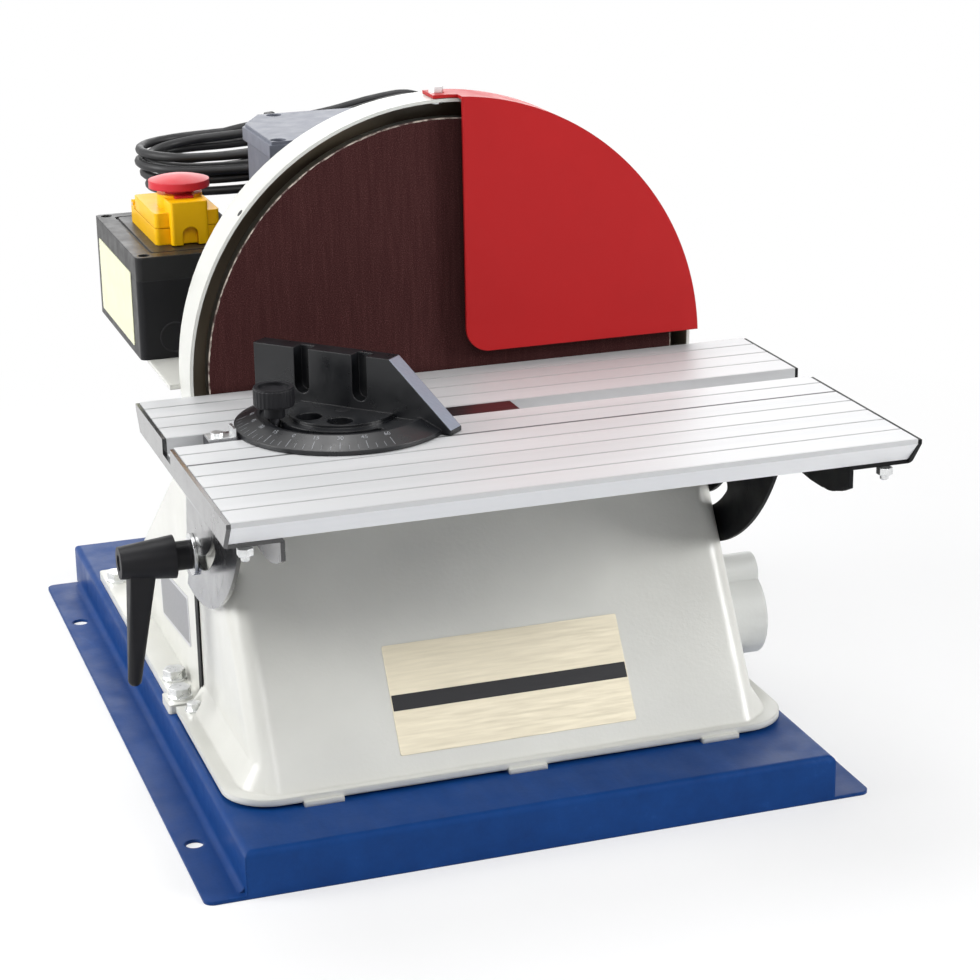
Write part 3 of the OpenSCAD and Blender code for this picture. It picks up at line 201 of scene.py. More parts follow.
class Maker:
    """A principled material with object coordinates and short helpers."""

    def __init__(self, name, color, rough, metal=0.0, coat=0.0, coat_rough=0.1, spec=0.5):
        self.mat = bpy.data.materials.new(name)
        self.mat.use_nodes = True
        self.tree = self.mat.node_tree
        self.bsdf = self.tree.nodes["Principled BSDF"]
        self.color = color
        self.set("Base Color", (*color, 1))
        self.set("Roughness", rough)
        self.set("Metallic", metal)
        self.set("Coat Weight", coat)
        self.set("Coat Roughness", coat_rough)
        self.set("Specular IOR Level", spec)
        self.coords = self.node("ShaderNodeTexCoord").outputs["Object"]
        self.normal = None

    def set(self, key, value):
        self.bsdf.inputs[key].default_value = value

    def node(self, kind, **values):
        return add_node(self.tree, kind, **values)

    def link(self, a, b):
        self.tree.links.new(a, b)

    def base(self, output):
        self.link(output, self.bsdf.inputs["Base Color"])

    def stretched(self, scale):
        n = self.node("ShaderNodeMapping", Scale=scale)
        self.link(self.coords, n.inputs["Vector"])
        return n.outputs["Vector"]

    def noise(self, scale, detail=3.0, rough=0.55, coords=None):
        n = self.node("ShaderNodeTexNoise", Scale=scale, Detail=detail, Roughness=rough)
        self.link(coords or self.coords, n.inputs["Vector"])
        return n.outputs["Fac"]

    def ramp(self, fac, stops):
        n = self.node("ShaderNodeValToRGB")
        while len(n.color_ramp.elements) < len(stops):
            n.color_ramp.elements.new(0.5)
        for e, (at, c) in zip(n.color_ramp.elements, stops):
            e.position = at
            e.color = (*c, 1)
        self.link(fac, n.inputs["Fac"])
        return n.outputs["Color"]

    def tint(self, scale, amount, detail=3.0, coords=None):
        lo = [c * (1 - amount) for c in self.color]
        hi = [min(1, c * (1 + amount)) for c in self.color]
        self.base(self.ramp(self.noise(scale, detail, coords=coords), [(0.3, lo), (0.7, hi)]))

    def math(self, kind, *values):
        n = self.node("ShaderNodeMath", operation=kind)
        for value, socket in zip(values, n.inputs):
            if isinstance(value, (int, float)):
                socket.default_value = value
            else:
                self.link(value, socket)
        return n.outputs[0]

    def axes(self):
        n = self.node("ShaderNodeSeparateXYZ")
        self.link(self.coords, n.inputs[0])
        return n.outputs

    def span(self, value, a, b, lo, hi):
        n = self.node("ShaderNodeMapRange", **{"From Min": a, "From Max": b, "To Min": lo, "To Max": hi})
        self.link(value, n.inputs["Value"])
        return n.outputs["Result"]

    def spread(self, scale, lo, hi, detail=3.0, coords=None):
        fac = self.span(self.noise(scale, detail, coords=coords), 0.3, 0.7, lo, hi)
        self.link(fac, self.bsdf.inputs["Roughness"])

    def soft_edges(self, radius):
        n = self.node("ShaderNodeBevel", Radius=radius, samples=4)
        self.normal = n.outputs["Normal"]
        self.link(self.normal, self.bsdf.inputs["Normal"])

    def bump(self, height, strength, distance):
        n = self.node("ShaderNodeBump", Strength=strength, Distance=distance)
        self.link(height, n.inputs["Height"])
        if self.normal:
            self.link(self.normal, n.inputs["Normal"])
        self.normal = n.outputs["Normal"]
        self.link(self.normal, self.bsdf.inputs["Normal"])


def paint_maker(name, color, rough, peel=0.10, edge=0.0012, tone=0.05, coat=0.25, peel_scale=420,
                spec=0.5):
    m = Maker(name, color, rough, coat=coat, coat_rough=0.18, spec=spec)
    m.soft_edges(edge)
    m.tint(14, tone)
    m.spread(60, rough - 0.06, rough + 0.08)
    m.bump(m.noise(peel_scale, 2), peel, 0.0006)
    return m


def paint(*args, **keys):
    return paint_maker(*args, **keys).mat


# Painted shade: the dark colour, and the radius and depth bounds, for the inside of the rim where the gap
# lies in shadow
RIM_SHADE = (0.170, 0.137, 0.095, 1)
RIM_SHADE_R, RIM_SHADE_FRONT, RIM_SHADE_BACK = 0.1605, -0.0846, -0.059


def rim_paint(color):
    """Cream outside, with painted shade inside the rim: a dark colour stands for the shadow deep in the
    gap round the disc.
    """
    m = paint_maker("rim_paint", color, 0.36, peel=0.16, edge=0.0008)
    x, y, z = m.axes()
    z = m.math("SUBTRACT", z, AXIS_Z)
    square = m.math("ADD", m.math("MULTIPLY", x, x), m.math("MULTIPLY", z, z))
    behind = m.math("GREATER_THAN", y, RIM_SHADE_FRONT)
    before = m.math("LESS_THAN", y, RIM_SHADE_BACK)
    within = m.math("LESS_THAN", square, RIM_SHADE_R ** 2)
    # Painted shade: mask of the rim's inside, which gets the dark colour
    inside = m.math("MULTIPLY", within, m.math("MULTIPLY", behind, before))
    # Sockets 6 and 7 are the two colours of a colour mix, and output 2 is its result
    mix = m.node("ShaderNodeMix", data_type="RGBA")
    mix.inputs[7].default_value = RIM_SHADE
    m.link(inside, mix.inputs[0])
    m.link(m.bsdf.inputs["Base Color"].links[0].from_socket, mix.inputs[6])
    m.base(mix.outputs[2])
    return m.mat


def plastic(name, color, rough, grain=0.08, edge=0.0006, tone=0.08, grain_scale=1800, spec=0.35):
    m = Maker(name, color, rough, spec=spec)
    m.soft_edges(edge)
    m.tint(35, tone)
    m.spread(90, rough - 0.05, rough + 0.08)
    m.bump(m.noise(grain_scale, 2), grain, 0.0003)
    return m.mat


def metal(name, color, rough, lines=(1, 1, 1), edge=0.0005, tone=0.07, depth=0.06, scale=300):
    m = Maker(name, color, rough, metal=1.0)
    m.soft_edges(edge)
    where = m.stretched(lines)
    m.tint(scale, tone, 4, where)
    m.spread(scale * 0.7, rough - 0.08, rough + 0.1, 4, where)
    m.bump(m.noise(scale * 1.4, 3, coords=where), depth, 0.0002)
    return m.mat


# The table's grooves: half their spacing, where each field starts, the slot between the fields and
# the deep groove; then the top and back of the slanted front edge
GROOVE_HALF, FORE_START, REAR_START = 0.01025, -0.3204, -0.1624
SLOT_Y, DEEP_Y = -0.1725, -0.2179
SLANT_TOP, SLANT_BACK = 0.2401, -0.3085


def table_metal():
    """Brushed aluminium with painted shade as a grey line along each groove of the top and the front lip,
    a darker line along the deep groove, and a painted reflection brightening the slanted front edge.
    """
    m = Maker("table_aluminium", (0.72, 0.72, 0.73), 0.46, metal=0.15)
    m.soft_edges(0.0005)
    where = m.stretched((3, 900, 900))
    wide = m.stretched((1.2, 60, 60))
    stops = [(0.3, (0.62, 0.63, 0.64)), (0.7, (0.67, 0.675, 0.685))]
    bare = m.ramp(m.noise(1, 4, 0.55, wide), stops)
    _, y, z = m.axes()
    fore = m.math("PINGPONG", m.math("SUBTRACT", y, FORE_START), GROOVE_HALF)
    rear = m.math("PINGPONG", m.math("SUBTRACT", y, REAR_START), GROOVE_HALF)
    behind = m.math("GREATER_THAN", y, SLOT_Y)
    fore = m.math("MULTIPLY", fore, m.math("SUBTRACT", 1, behind))
    away = m.math("ADD", m.math("MULTIPLY", rear, behind), fore)
    deep = m.math("ABSOLUTE", m.math("SUBTRACT", y, DEEP_Y))
    # Painted shade: grey lines along the grooves and the lip, darker along the deep groove
    fine_groove_shade = m.span(away, 0.0006, 0.0018, 0.85, 1)
    deep_groove_shade = m.span(deep, 0.0008, 0.0017, 0.4, 1)
    groove_shade = m.math("MULTIPLY", fine_groove_shade, deep_groove_shade)
    # Painted reflection: the slanted front edge is made 1.25 times brighter
    slant_reflection = m.math("MULTIPLY", m.math("LESS_THAN", z, SLANT_TOP), m.math("LESS_THAN", y, SLANT_BACK))
    painted_shade_and_light = m.math("MAXIMUM", groove_shade, m.math("MULTIPLY", slant_reflection, 1.25))
    scaled = m.node("ShaderNodeVectorMath", operation="SCALE")
    m.link(bare, scaled.inputs[0])
    m.link(painted_shade_and_light, scaled.inputs["Scale"])
    m.base(scaled.outputs["Vector"])
    m.spread(1, 0.40, 0.54, 4, where)
    m.bump(m.noise(1, 3, coords=where), 0.08, 0.0002)
    return m.mat


def abrasive():
    m = Maker("abrasive_grain", (0.055, 0.017, 0.017), 0.9, spec=0.1)
    grain = m.noise(1500, 4, 0.7)
    streaks = m.noise(1, 3, 0.5, m.stretched((420, 1, 30)))
    both = m.node("ShaderNodeMix")
    both.inputs["Factor"].default_value = 0.16
    m.link(grain, both.inputs["A"])
    m.link(streaks, both.inputs["B"])
    stops = [(0.34, (0.030, 0.010, 0.010)), (0.52, (0.056, 0.018, 0.018)), (0.68, (0.120, 0.050, 0.046))]
    m.base(m.ramp(both.outputs["Result"], stops))
    m.bump(grain, 0.4, 0.0006)
    return m.mat


def rubber(name, color, rough=0.48):
    m = Maker(name, color, rough, spec=0.4)
    m.tint(60, 0.15)
    m.spread(140, rough - 0.08, rough + 0.1)
    m.bump(m.noise(900, 2), 0.05, 0.0003)
    return m.mat


def worn_blue():
    m = Maker("blue_paint", (0.005, 0.054, 0.240), 0.36, spec=0.12)
    m.soft_edges(0.002)
    scuff = m.noise(1, 6, 0.75, m.stretched((35, 9, 35)))
    stops = [(0.25, (0.004, 0.036, 0.158)), (0.62, (0.006, 0.050, 0.210)), (0.82, (0.02, 0.08, 0.28))]
    m.base(m.ramp(scuff, stops))
    m.spread(45, 0.30, 0.48)
    m.bump(m.noise(380, 2), 0.08, 0.0006)
    return m.mat


def foil(name, color, rough):
    m = Maker(name, color, rough, metal=0.55)
    where = m.stretched((40, 700, 700))
    m.tint(1, 0.06, 4, where)
    m.spread(1, rough - 0.06, rough + 0.1, 4, where)
    m.bump(m.noise(1, 3, coords=where), 0.05, 0.0002)
    return m.mat


def torn_paper():
    m = Maker("paper_edge", (0.55, 0.47, 0.40), 0.8)
    m.base(m.ramp(m.noise(220, 4), [(0.40, (0.09, 0.05, 0.045)), (0.60, (0.62, 0.55, 0.47))]))
    return m.mat


CREAM = paint("cream_paint", (0.695, 0.695, 0.650), 0.36, peel=0.16, edge=0.0025)
RIM = rim_paint((0.670, 0.675, 0.635))
PORT = paint("port_paint", (0.69, 0.70, 0.675), 0.40, peel=0.14, edge=0.0025)
BLUE = worn_blue()
RED = paint("red_paint", (0.45, 0.0105, 0.0125), 0.40, peel=0.05, edge=0.0008, tone=0.03, coat=0.0,
            spec=0.22)
MOTOR = paint("motor_grey", (0.11, 0.12, 0.14), 0.42, peel=0.2, edge=0.0008, peel_scale=700)
BLACK_GLOSS = paint("black_gloss", (0.005, 0.005, 0.006), 0.22, peel=0.015, edge=0.0003, coat=1.0,
                    spec=0.6)
BLACK_DULL = paint("black_dull", (0.004, 0.004, 0.005), 0.50, peel=0.04, edge=0.0006, coat=0.0,
                   spec=0.15)
BLACK_SATIN = plastic("black_satin", (0.005, 0.0055, 0.007), 0.30, grain=0.025, edge=0.0009,
                      grain_scale=900, spec=0.5)
BLACK_PLASTIC = plastic("black_plastic", (0.010, 0.010, 0.012), 0.44, spec=0.22)
BOX_PLASTIC = plastic("box_plastic", (0.006, 0.006, 0.0075), 0.36, edge=0.0012, spec=0.25)
LID_PLASTIC = plastic("lid_plastic", (0.012, 0.012, 0.0125), 0.38, edge=0.0012, spec=0.28)
GREY_PLASTIC = plastic("grey_plastic", (0.142, 0.153, 0.192), 0.42, edge=0.0015)
YELLOW = plastic("yellow_plastic", (1.0, 0.54, 0.001), 0.36, grain=0.05, edge=0.0012, tone=0.04,
                 spec=0.2)
RED_PLASTIC = plastic("red_plastic", (0.62, 0.022, 0.036), 0.34, grain=0.04, edge=0.0008, tone=0.04)
GREEN = plastic("green_plastic", (0.02, 0.30, 0.07), 0.32)
RUBBER = rubber("black_rubber", (0.009, 0.009, 0.010))
TABLE = table_metal()
DISC_METAL = metal("disc_metal", (0.34, 0.34, 0.32), 0.42, scale=500, depth=0.12)
BLUISH_METAL = metal("bluish_metal_face", (0.29, 0.325, 0.39), 0.42, lines=(1, 8, 1), scale=300)
ZINC = metal("zinc_steel", (0.74, 0.75, 0.75), 0.30, tone=0.12, scale=260)
STEEL = metal("bright_steel", (0.58, 0.58, 0.59), 0.28, lines=(1, 1, 6))
DARK_STEEL = metal("dark_steel", (0.12, 0.12, 0.13), 0.34, lines=(0.05, 3, 3), scale=400)
WINDING = metal("winding", (0.34, 0.17, 0.08), 0.5, lines=(6, 0.5, 6))
ABRASIVE = abrasive()
PAPER = torn_paper()
PLATE_GOLD = foil("plate_gold", (0.68, 0.62, 0.48), 0.34)
PLATE_DARK = foil("plate_dark", (0.02, 0.02, 0.022), 0.4)
PLATE_GREY = foil("plate_grey", (0.62, 0.62, 0.64), 0.35)
PLATE_FIELD = foil("plate_field", (0.33, 0.33, 0.34), 0.40)
PLATE_CREAM = plastic("plate_cream", (0.73, 0.74, 0.52), 0.38, tone=0.04)
SCALE_WHITE = plastic("scale_white", (0.30, 0.31, 0.33), 0.5)

# What each node of the solids wears; every other node is zinc
WEARS = (
    (BLUE, "base_tray"),
    (CREAM, "front_housing disc_housing rear_stand switch_bracket"),
    (PORT, "dust_port"),
    (RED, "disc_guard"),
    (MOTOR, "motor_flange motor_frame motor_rear_shield fan_cover"),
    (WINDING, "motor_stator"),
    (STEEL, "motor_shaft motor_rotor"),
    (GREY_PLASTIC, "terminal_box terminal_lid"),
    (BOX_PLASTIC, "switch_box"),
    (LID_PLASTIC, "switch_lid"),
    (YELLOW, "switch_base switch_flap"),
    (RED_PLASTIC, "flap_latch stop_button off_button"),
    (GREEN, "start_button"),
    (RUBBER, "cord_gland mains_lead cord_coil plug_lead mains_plug"),
    (BLACK_PLASTIC, "cooling_fan lock_lever gauge_knob"),
    (DISC_METAL, "disc_plate"),
    (ABRASIVE, "abrasive_disc"),
    (TABLE, "table_plate"),
    # Both brackets are one paint: the left wears a glossy copy for its bright reflection and the right a
    # dull copy that stays dark, lit and shaded copies of one material
    (BLACK_GLOSS, "left_bracket"),
    (BLACK_DULL, "right_bracket"),
    (BLACK_SATIN, "gauge_head"),
    (DARK_STEEL, "lever_screw gauge_bar terminal_screws switch_lid_screws"),
)
FINISH = {name: material for material, names in WEARS for name in names.split()}
for name, obj in nodes.items():
    for s in obj.material_slots:
        s.material = FINISH.get(name, ZINC)
mains_cord.data.materials.append(RUBBER)


# Pieces
def piece(name, bm, body, material, smooth=False):
    mesh = bpy.data.meshes.new(name)
    bmesh.ops.recalc_face_normals(bm, faces=bm.faces)
    bm.to_mesh(mesh)
    bm.free()
    for p in mesh.polygons:
        p.use_smooth = smooth
    mesh.materials.append(material)
    obj = bpy.data.objects.new(name, mesh)
    scene.collection.objects.link(obj)
    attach(obj, body)


def circle_outline(r, n, start=0):
    turns = [math.radians(start + 360 * k / n) for k in range(n)]
    return [(r * math.cos(a), r * math.sin(a)) for a in turns]


def rounded_outline(w, h, r, steps=6):
    x, y = w / 2 - r, h / 2 - r
    out = []
    for cx, cy, start in ((x, y, 0), (-x, y, 90), (-x, -y, 180), (x, -y, 270)):
        for k in range(steps + 1):
            a = math.radians(start + 90 * k / steps)
            out.append((cx + r * math.cos(a), cy + r * math.sin(a)))
    return out


def bridge(bm, rings):
    """Quads between each ring of points and the next."""
    for a, b in zip(rings, rings[1:]):
        n = len(a)
        for i in range(n):
            bm.faces.new((a[i], a[(i + 1) % n], b[(i + 1) % n], b[i]))


def slab(bm, outline, place, low, high, chamfer=0.0):
    """Closed plate of an outline in the plane of place, with a small chamfer round its top."""
    n = len(outline)
    levels = [(low, 0), (high - chamfer, 0), (high, chamfer)] if chamfer else [(low, 0), (high, 0)]
    mid = Vector((sum(p[0] for p in outline) / n, sum(p[1] for p in outline) / n, 0))
    rings = []
    for z, inset in levels:
        ring = []
        for x, y in outline:
            v = Vector((x, y, 0))
            v = v - (v - mid).normalized() * inset
            ring.append(bm.verts.new((place @ Vector((v.x, v.y, z))) * MM))
        rings.append(ring)
    bridge(bm, rings)
    bm.faces.new(rings[0][::-1])
    bm.faces.new(rings[-1])


def placed(origin, x, y):
    x, y = Vector(x).normalized(), Vector(y).normalized()
    m = Matrix((x, y, x.cross(y))).transposed().to_4x4()
    m.translation = Vector(origin)
    return m


# Bare plates on the sloping front, on the rear stand and on the switch box
FRONT_FOOT, FRONT_RUN, FRONT_RISE = Vector((2, -215, 31)), 118.5, 190.5
PLATE_UP, BAND_UP = 49.8, 48.0
STAND_PLATE_AT, STAND_PLATE_TILT = (-160, 12, 74), 0.10
SWITCH_PLATE_AT = (-173, 82, 271.5)


def front_plates():
    slope = math.atan2(FRONT_RUN, FRONT_RISE)
    up = Vector((0, math.sin(slope), math.cos(slope)))
    bm = bmesh.new()
    place = placed(FRONT_FOOT + up * PLATE_UP, (1, 0, 0), up)
    slab(bm, rounded_outline(150, 66.5, 1.2), place, 0.02, 0.5, 0.15)
    piece("front_plate", bm, "frame", PLATE_GOLD)
    bm = bmesh.new()
    place = placed(FRONT_FOOT + up * BAND_UP, (1, 0, 0), up)
    slab(bm, rounded_outline(149, 9.6, 0.4), place, 0.45, 0.62, 0.05)
    piece("front_plate_band", bm, "frame", PLATE_DARK)


def side_plates():
    place = placed(STAND_PLATE_AT, (0, -1, STAND_PLATE_TILT), (0, STAND_PLATE_TILT, 1))
    bm = bmesh.new()
    slab(bm, rounded_outline(88, 34, 2), place, 0.02, 0.6, 0.2)
    piece("stand_plate", bm, "frame", PLATE_GREY)
    bm = bmesh.new()
    slab(bm, rounded_outline(84, 30, 1), place, 0.55, 0.72, 0.05)
    piece("stand_plate_field", bm, "frame", PLATE_FIELD)
    place = placed(SWITCH_PLATE_AT, (0, -1, 0), (0, 0, 1))
    bm = bmesh.new()
    slab(bm, rounded_outline(108, 48, 1.5), place, 0.02, 0.4, 0.1)
    piece("switch_plate", bm, "frame", PLATE_CREAM)


front_plates()
side_plates()


# Graduations, plain numbers and the bright end of the mitre gauge
GAUGE_AT, GAUGE_TURN = (-92, -172.5, 243.3), math.radians(43 - 90)
GAUGE_PIVOT = Matrix.Translation(GAUGE_AT) @ Matrix.Rotation(GAUGE_TURN, 4, "Z")
GAUGE_R, BEVEL_W, BEVEL_LOW, BEVEL_H = 62.5, 13, 2.5, 5.5
SQUARE_AT, STROKE_STEP, NUMBER_STEP = -90, 5, 15
STROKE_END, LONG_STROKE, SHORT_STROKE = 61, (55, 0.2), (57.5, 0.14)
NUMBER_R, NUMBER_SIZE = 52, 4.0
FENCE_LOW, FENCE_HIGH, FENCE_W = Vector((68.5, 11, 2.5)), Vector((28.5, 11, 40)), 11.4


def on_bevel(r, a, off=0, lift=0):
    z = BEVEL_LOW + (GAUGE_R - r) * BEVEL_H / BEVEL_W + lift
    return Vector((r * math.cos(a) - off * math.sin(a), r * math.sin(a) + off * math.cos(a), z))


def gauge_scale():
    bm = bmesh.new()
    for k in range(-12, 13):
        a = math.radians(SQUARE_AT + STROKE_STEP * k)
        inner, half = LONG_STROKE if k % 3 == 0 else SHORT_STROKE
        corners = [(inner, -half), (STROKE_END, -half), (STROKE_END, half), (inner, half)]
        top = [bm.verts.new((GAUGE_PIVOT @ on_bevel(r, a, o, 0.06)) * MM) for r, o in corners]
        low = [bm.verts.new((GAUGE_PIVOT @ on_bevel(r, a, o, -0.05)) * MM) for r, o in corners]
        bm.faces.new(top)
        bm.faces.new(low[::-1])
        bridge(bm, [low, top])
    piece("gauge_scale", bm, "gauge_swing_body", SCALE_WHITE)


def gauge_numbers():
    bm = bmesh.new()
    for k in range(-4, 5):
        curve = bpy.data.curves.new("number", "FONT")
        curve.body = str(abs(NUMBER_STEP * k))
        curve.size = NUMBER_SIZE
        curve.extrude = 0.05
        curve.resolution_u = 3
        curve.align_x = "CENTER"
        curve.align_y = "CENTER"
        holder = bpy.data.objects.new("number", curve)
        mesh = bpy.data.meshes.new_from_object(holder)
        a = math.radians(SQUARE_AT + NUMBER_STEP * k)
        along = Vector((-math.sin(a), math.cos(a), 0))
        up = on_bevel(GAUGE_R - BEVEL_W, a) - on_bevel(GAUGE_R, a)
        mesh.transform(Matrix.Scale(MM, 4) @ GAUGE_PIVOT @ placed(on_bevel(NUMBER_R, a), along, up))
        bm.from_mesh(mesh)
        bpy.data.objects.remove(holder)
        bpy.data.curves.remove(curve)
        bpy.data.meshes.remove(mesh)
    piece("gauge_numbers", bm, "gauge_swing_body", SCALE_WHITE)


def fence_face():
    """Bluish grey metal face on the sloping end of the fence."""
    bm = bmesh.new()
    slope = FENCE_HIGH - FENCE_LOW
    place = GAUGE_PIVOT @ placed((FENCE_LOW + FENCE_HIGH) / 2, (0, 1, 0), slope)
    slab(bm, rounded_outline(FENCE_W, slope.length - 0.8, 0.6), place, -0.1, 0.22, 0.1)
    piece("fence_face", bm, "gauge_swing_body", BLUISH_METAL)


gauge_scale()
gauge_numbers()
fence_face()


# Ribbed grip round the gauge's knob
KNOB_AT = Vector((-132, -172.5, 0))
KNOB_RIBS, KNOB_LOW, KNOB_HIGH = 28, 258.9, 269.4
KNOB_R, KNOB_EDGE_R, KNOB_BORE_R = 11.9, 11.3, 11.0


def knob_grip():
    bm = bmesh.new()
    n = KNOB_RIBS * 4

    def ring(r, z, groove=0.2):
        out = []
        for k in range(n):
            a = 2 * math.pi * k / n
            d = r - (groove if k % 4 < 2 else 0)
            out.append(bm.verts.new((KNOB_AT + Vector((d * math.cos(a), d * math.sin(a), z))) * MM))
        return out

    outer = [ring(KNOB_EDGE_R, KNOB_LOW), ring(KNOB_R, KNOB_LOW + 0.8),
             ring(KNOB_R, KNOB_HIGH - 0.8), ring(KNOB_EDGE_R, KNOB_HIGH)]
    bore_low, bore_high = ring(KNOB_BORE_R, KNOB_LOW, 0), ring(KNOB_BORE_R, KNOB_HIGH, 0)
    bridge(bm, [bore_low] + outer + [bore_high, bore_low])
    piece("knob_grip", bm, "knob", BLACK_PLASTIC)


knob_grip()


# Pale torn paper edge round the abrasive sheet
PAPER_STEPS, PAPER_IN_R, PAPER_OUT_R = 720, 149.35, 150.1
PAPER_LEVELS = (-82.12, -82.12, -80.9, -81.9)


def paper_edge():
    bm = bmesh.new()
    rings = [[], [], [], []]
    for k in range(PAPER_STEPS):
        a = 2 * math.pi * k / PAPER_STEPS
        jag = 0.5 * noise.noise(Vector((math.cos(a) * 14, math.sin(a) * 14, 3)))
        jag += 0.35 * noise.noise(Vector((math.cos(a) * 60, math.sin(a) * 60, 7)))
        torn = PAPER_IN_R + jag
        for ring, r, y in zip(rings, (torn, PAPER_OUT_R, PAPER_OUT_R, torn), PAPER_LEVELS):
            ring.append(bm.verts.new(Vector((r * math.cos(a), y, AXIS_MM + r * math.sin(a))) * MM))
    bridge(bm, rings + rings[:1])
    piece("paper_edge", bm, "spindle", PAPER)


paper_edge()


# Tie round the back run of the coil
TIE_AT, TIE_W, TIE_T, TIE_GAP = -14, 4.8, 1.1, 0.2


def hull_of(points):
    points = sorted(points)

    def half(row):
        out = []
        for p in row:
            while len(out) > 1 and ((out[-1][0] - out[-2][0]) * (p[1] - out[-2][1])
                                    <= (out[-1][1] - out[-2][1]) * (p[0] - out[-2][0])):
                out.pop()
            out.append(p)
        return out[:-1]

    return half(points) + half(points[::-1])


def coil_tie():
    reach = CORD_D / 2 + TIE_GAP
    fine = fine_coil()
    runs = [OVER_PLACE]
    for a, b in zip(fine, fine[1:]):
        if b[1] > 0 and min(a[0], b[0]) <= TIE_AT < max(a[0], b[0]):
            runs.append((b[1], b[2]))
    loops = []
    for r in (reach, reach + TIE_T):
        loops.append(hull_of([(y + u, z + v) for y, z in runs for u, v in circle_outline(r, 16)]))
    n = min(len(loop) for loop in loops)
    near, far = TIE_AT - TIE_W / 2, TIE_AT + TIE_W / 2
    inside, outside = loops
    bm = bmesh.new()
    rings = []
    for loop, x in ((inside, near), (outside, near), (outside, far), (inside, far)):
        rings.append([bm.verts.new(coil_place(x, *loop[i]) * MM) for i in range(n)])
    bridge(bm, rings + rings[:1])
    top = max(outside, key=lambda p: p[1])
    at = coil_place(TIE_AT, *top)
    place = placed(at, coil_place(TIE_AT + 1, *top) - at, (0, 1, 0))
    slab(bm, rounded_outline(7, 6, 1), place, -0.3, 3.4, 0.5)
    piece("coil_tie", bm, "frame", BLACK_PLASTIC)


coil_tie()


# Black strips painted as the shadow gap over the seam of the housing, a dark disc painted as the shade of
# an empty hole in the rim, and a knock-out in the switch box
SEAM_SHADE_X, SEAM_SHADE_Y, SEAM_SHADE_Z, SEAM_SHADE_W, SEAM_SHADE_H = 160, -62, 116, 9, 184
RIM_R, RIM_HOLE_Y, RIM_HOLE_OUT = 162, -80.5, Vector((-0.775, 0, 0.632))
KNOCK_AT = (-150.4, 8, 256)
KNOCK_R, KNOCK_IN, KNOCK_LOW, KNOCK_HIGH, KNOCK_EDGE = 10, 9, -0.1, 0.35, 0.15


def seam_seals():
    # Painted shade: a black strip on each side where the seam's shadow gap lies
    bm = bmesh.new()
    for side in (-1, 1):
        place = placed((side * SEAM_SHADE_X, SEAM_SHADE_Y, SEAM_SHADE_Z), (0, side, 0), (0, 0, 1))
        slab(bm, rounded_outline(SEAM_SHADE_W, SEAM_SHADE_H, 0.6), place, -0.4, 1.2, 0.4)
    piece("seam_seals", bm, "frame", BLACK_DULL)


def rim_hole():
    # Painted shade: a dark disc on the rim stands for the shadow inside an empty hole
    bm = bmesh.new()
    back = Vector((0, 1, 0))
    at = Vector((0, RIM_HOLE_Y, AXIS_MM)) + RIM_HOLE_OUT.normalized() * RIM_R
    slab(bm, rounded_outline(4.4, 4.4, 2.19), placed(at, back, RIM_HOLE_OUT.cross(back)), -0.2, 0.12, 0.1)
    piece("rim_hole", bm, "frame", PLATE_DARK)


def knock_out():
    bm = bmesh.new()
    place = placed(KNOCK_AT, (1, 0, 0), (0, 0, 1))
    section = ((KNOCK_R, KNOCK_LOW), (KNOCK_R, KNOCK_HIGH - KNOCK_EDGE),
               (KNOCK_R - KNOCK_EDGE, KNOCK_HIGH), (KNOCK_IN, KNOCK_HIGH), (KNOCK_IN, KNOCK_LOW))
    rings = []
    for r, z in section:
        rings.append([bm.verts.new((place @ Vector((x, y, z))) * MM) for x, y in circle_outline(r, 48)])
    bridge(bm, rings + rings[:1])
    piece("knock_out", bm, "frame", PLATE_DARK, True)


seam_seals()
rim_hole()
knock_out()


# Wider lobe and nose of the table's brackets, and the bolt ends beside their noses
PIVOT = (-88, 216.5)
LOBE_MID, LOBE_R, LOBE_IN_R = (-74.7, 274.3), 160.5, 95
LOBE_TOP = (-183, 222.5)
NOSE = [
    (-229, 223), (-232, 213), (-239, 208.3), (-249, 206.5), (-262, 205.5), (-276, 205.6),
    (-290, 207.4), (-302, 211), (-310.4, 215), (-310.4, 225.4),
]
WEB_X, WEB_T = 162.52, 2.46
BOLT_X, BOLT_Y, BOLT_Z = 184, -311, 225.4
BOLT_NUT_R, BOLT_R = 4.6, 2.5


def arc(mid, r, start, end, steps):
    turns = [math.radians(start) + math.radians(end - start) * k / steps for k in range(steps + 1)]
    return [(mid[0] + r * math.cos(a), mid[1] + r * math.sin(a)) for a in turns]


def lobe_outline():
    """Crescent round the bracket's own lobe, from the table's underside to the lobe's back end."""
    return arc(LOBE_MID, LOBE_R, 198.8, 276, 40) + arc(PIVOT, LOBE_IN_R, 285, 187, 30) + [LOBE_TOP]


def bracket_webs():
    # Glossy and dull copies of the brackets' one paint, for a bright reflection on the left and a dark
    # right side
    for name, side, finish in (("left", -1, BLACK_GLOSS), ("right", 1, BLACK_DULL)):
        bm = bmesh.new()
        place = placed((side * WEB_X, 0, 0), (0, 1, 0), (0, 0, 1))
        near, far = (0, WEB_T) if side > 0 else (-WEB_T, 0)
        for outline in (lobe_outline(), NOSE):
            slab(bm, outline, place, near, far)
        bmesh.ops.triangulate(bm, faces=[f for f in bm.faces if len(f.verts) > 4])
        piece(name + "_bracket_web", bm, "table", finish)


def table_bolt_ends():
    bm = bmesh.new()
    for side in (-1, 1):
        place = placed((side * BOLT_X, BOLT_Y, BOLT_Z), (1, 0, 0), (0, -1, 0))
        slab(bm, circle_outline(BOLT_NUT_R, 6, 30), place, 0, 4.2, 0.4)
        slab(bm, circle_outline(BOLT_R, 20), place, 4, 7, 0.5)
    piece("table_bolt_ends", bm, "table", ZINC)


bracket_webs()
table_bolt_ends()


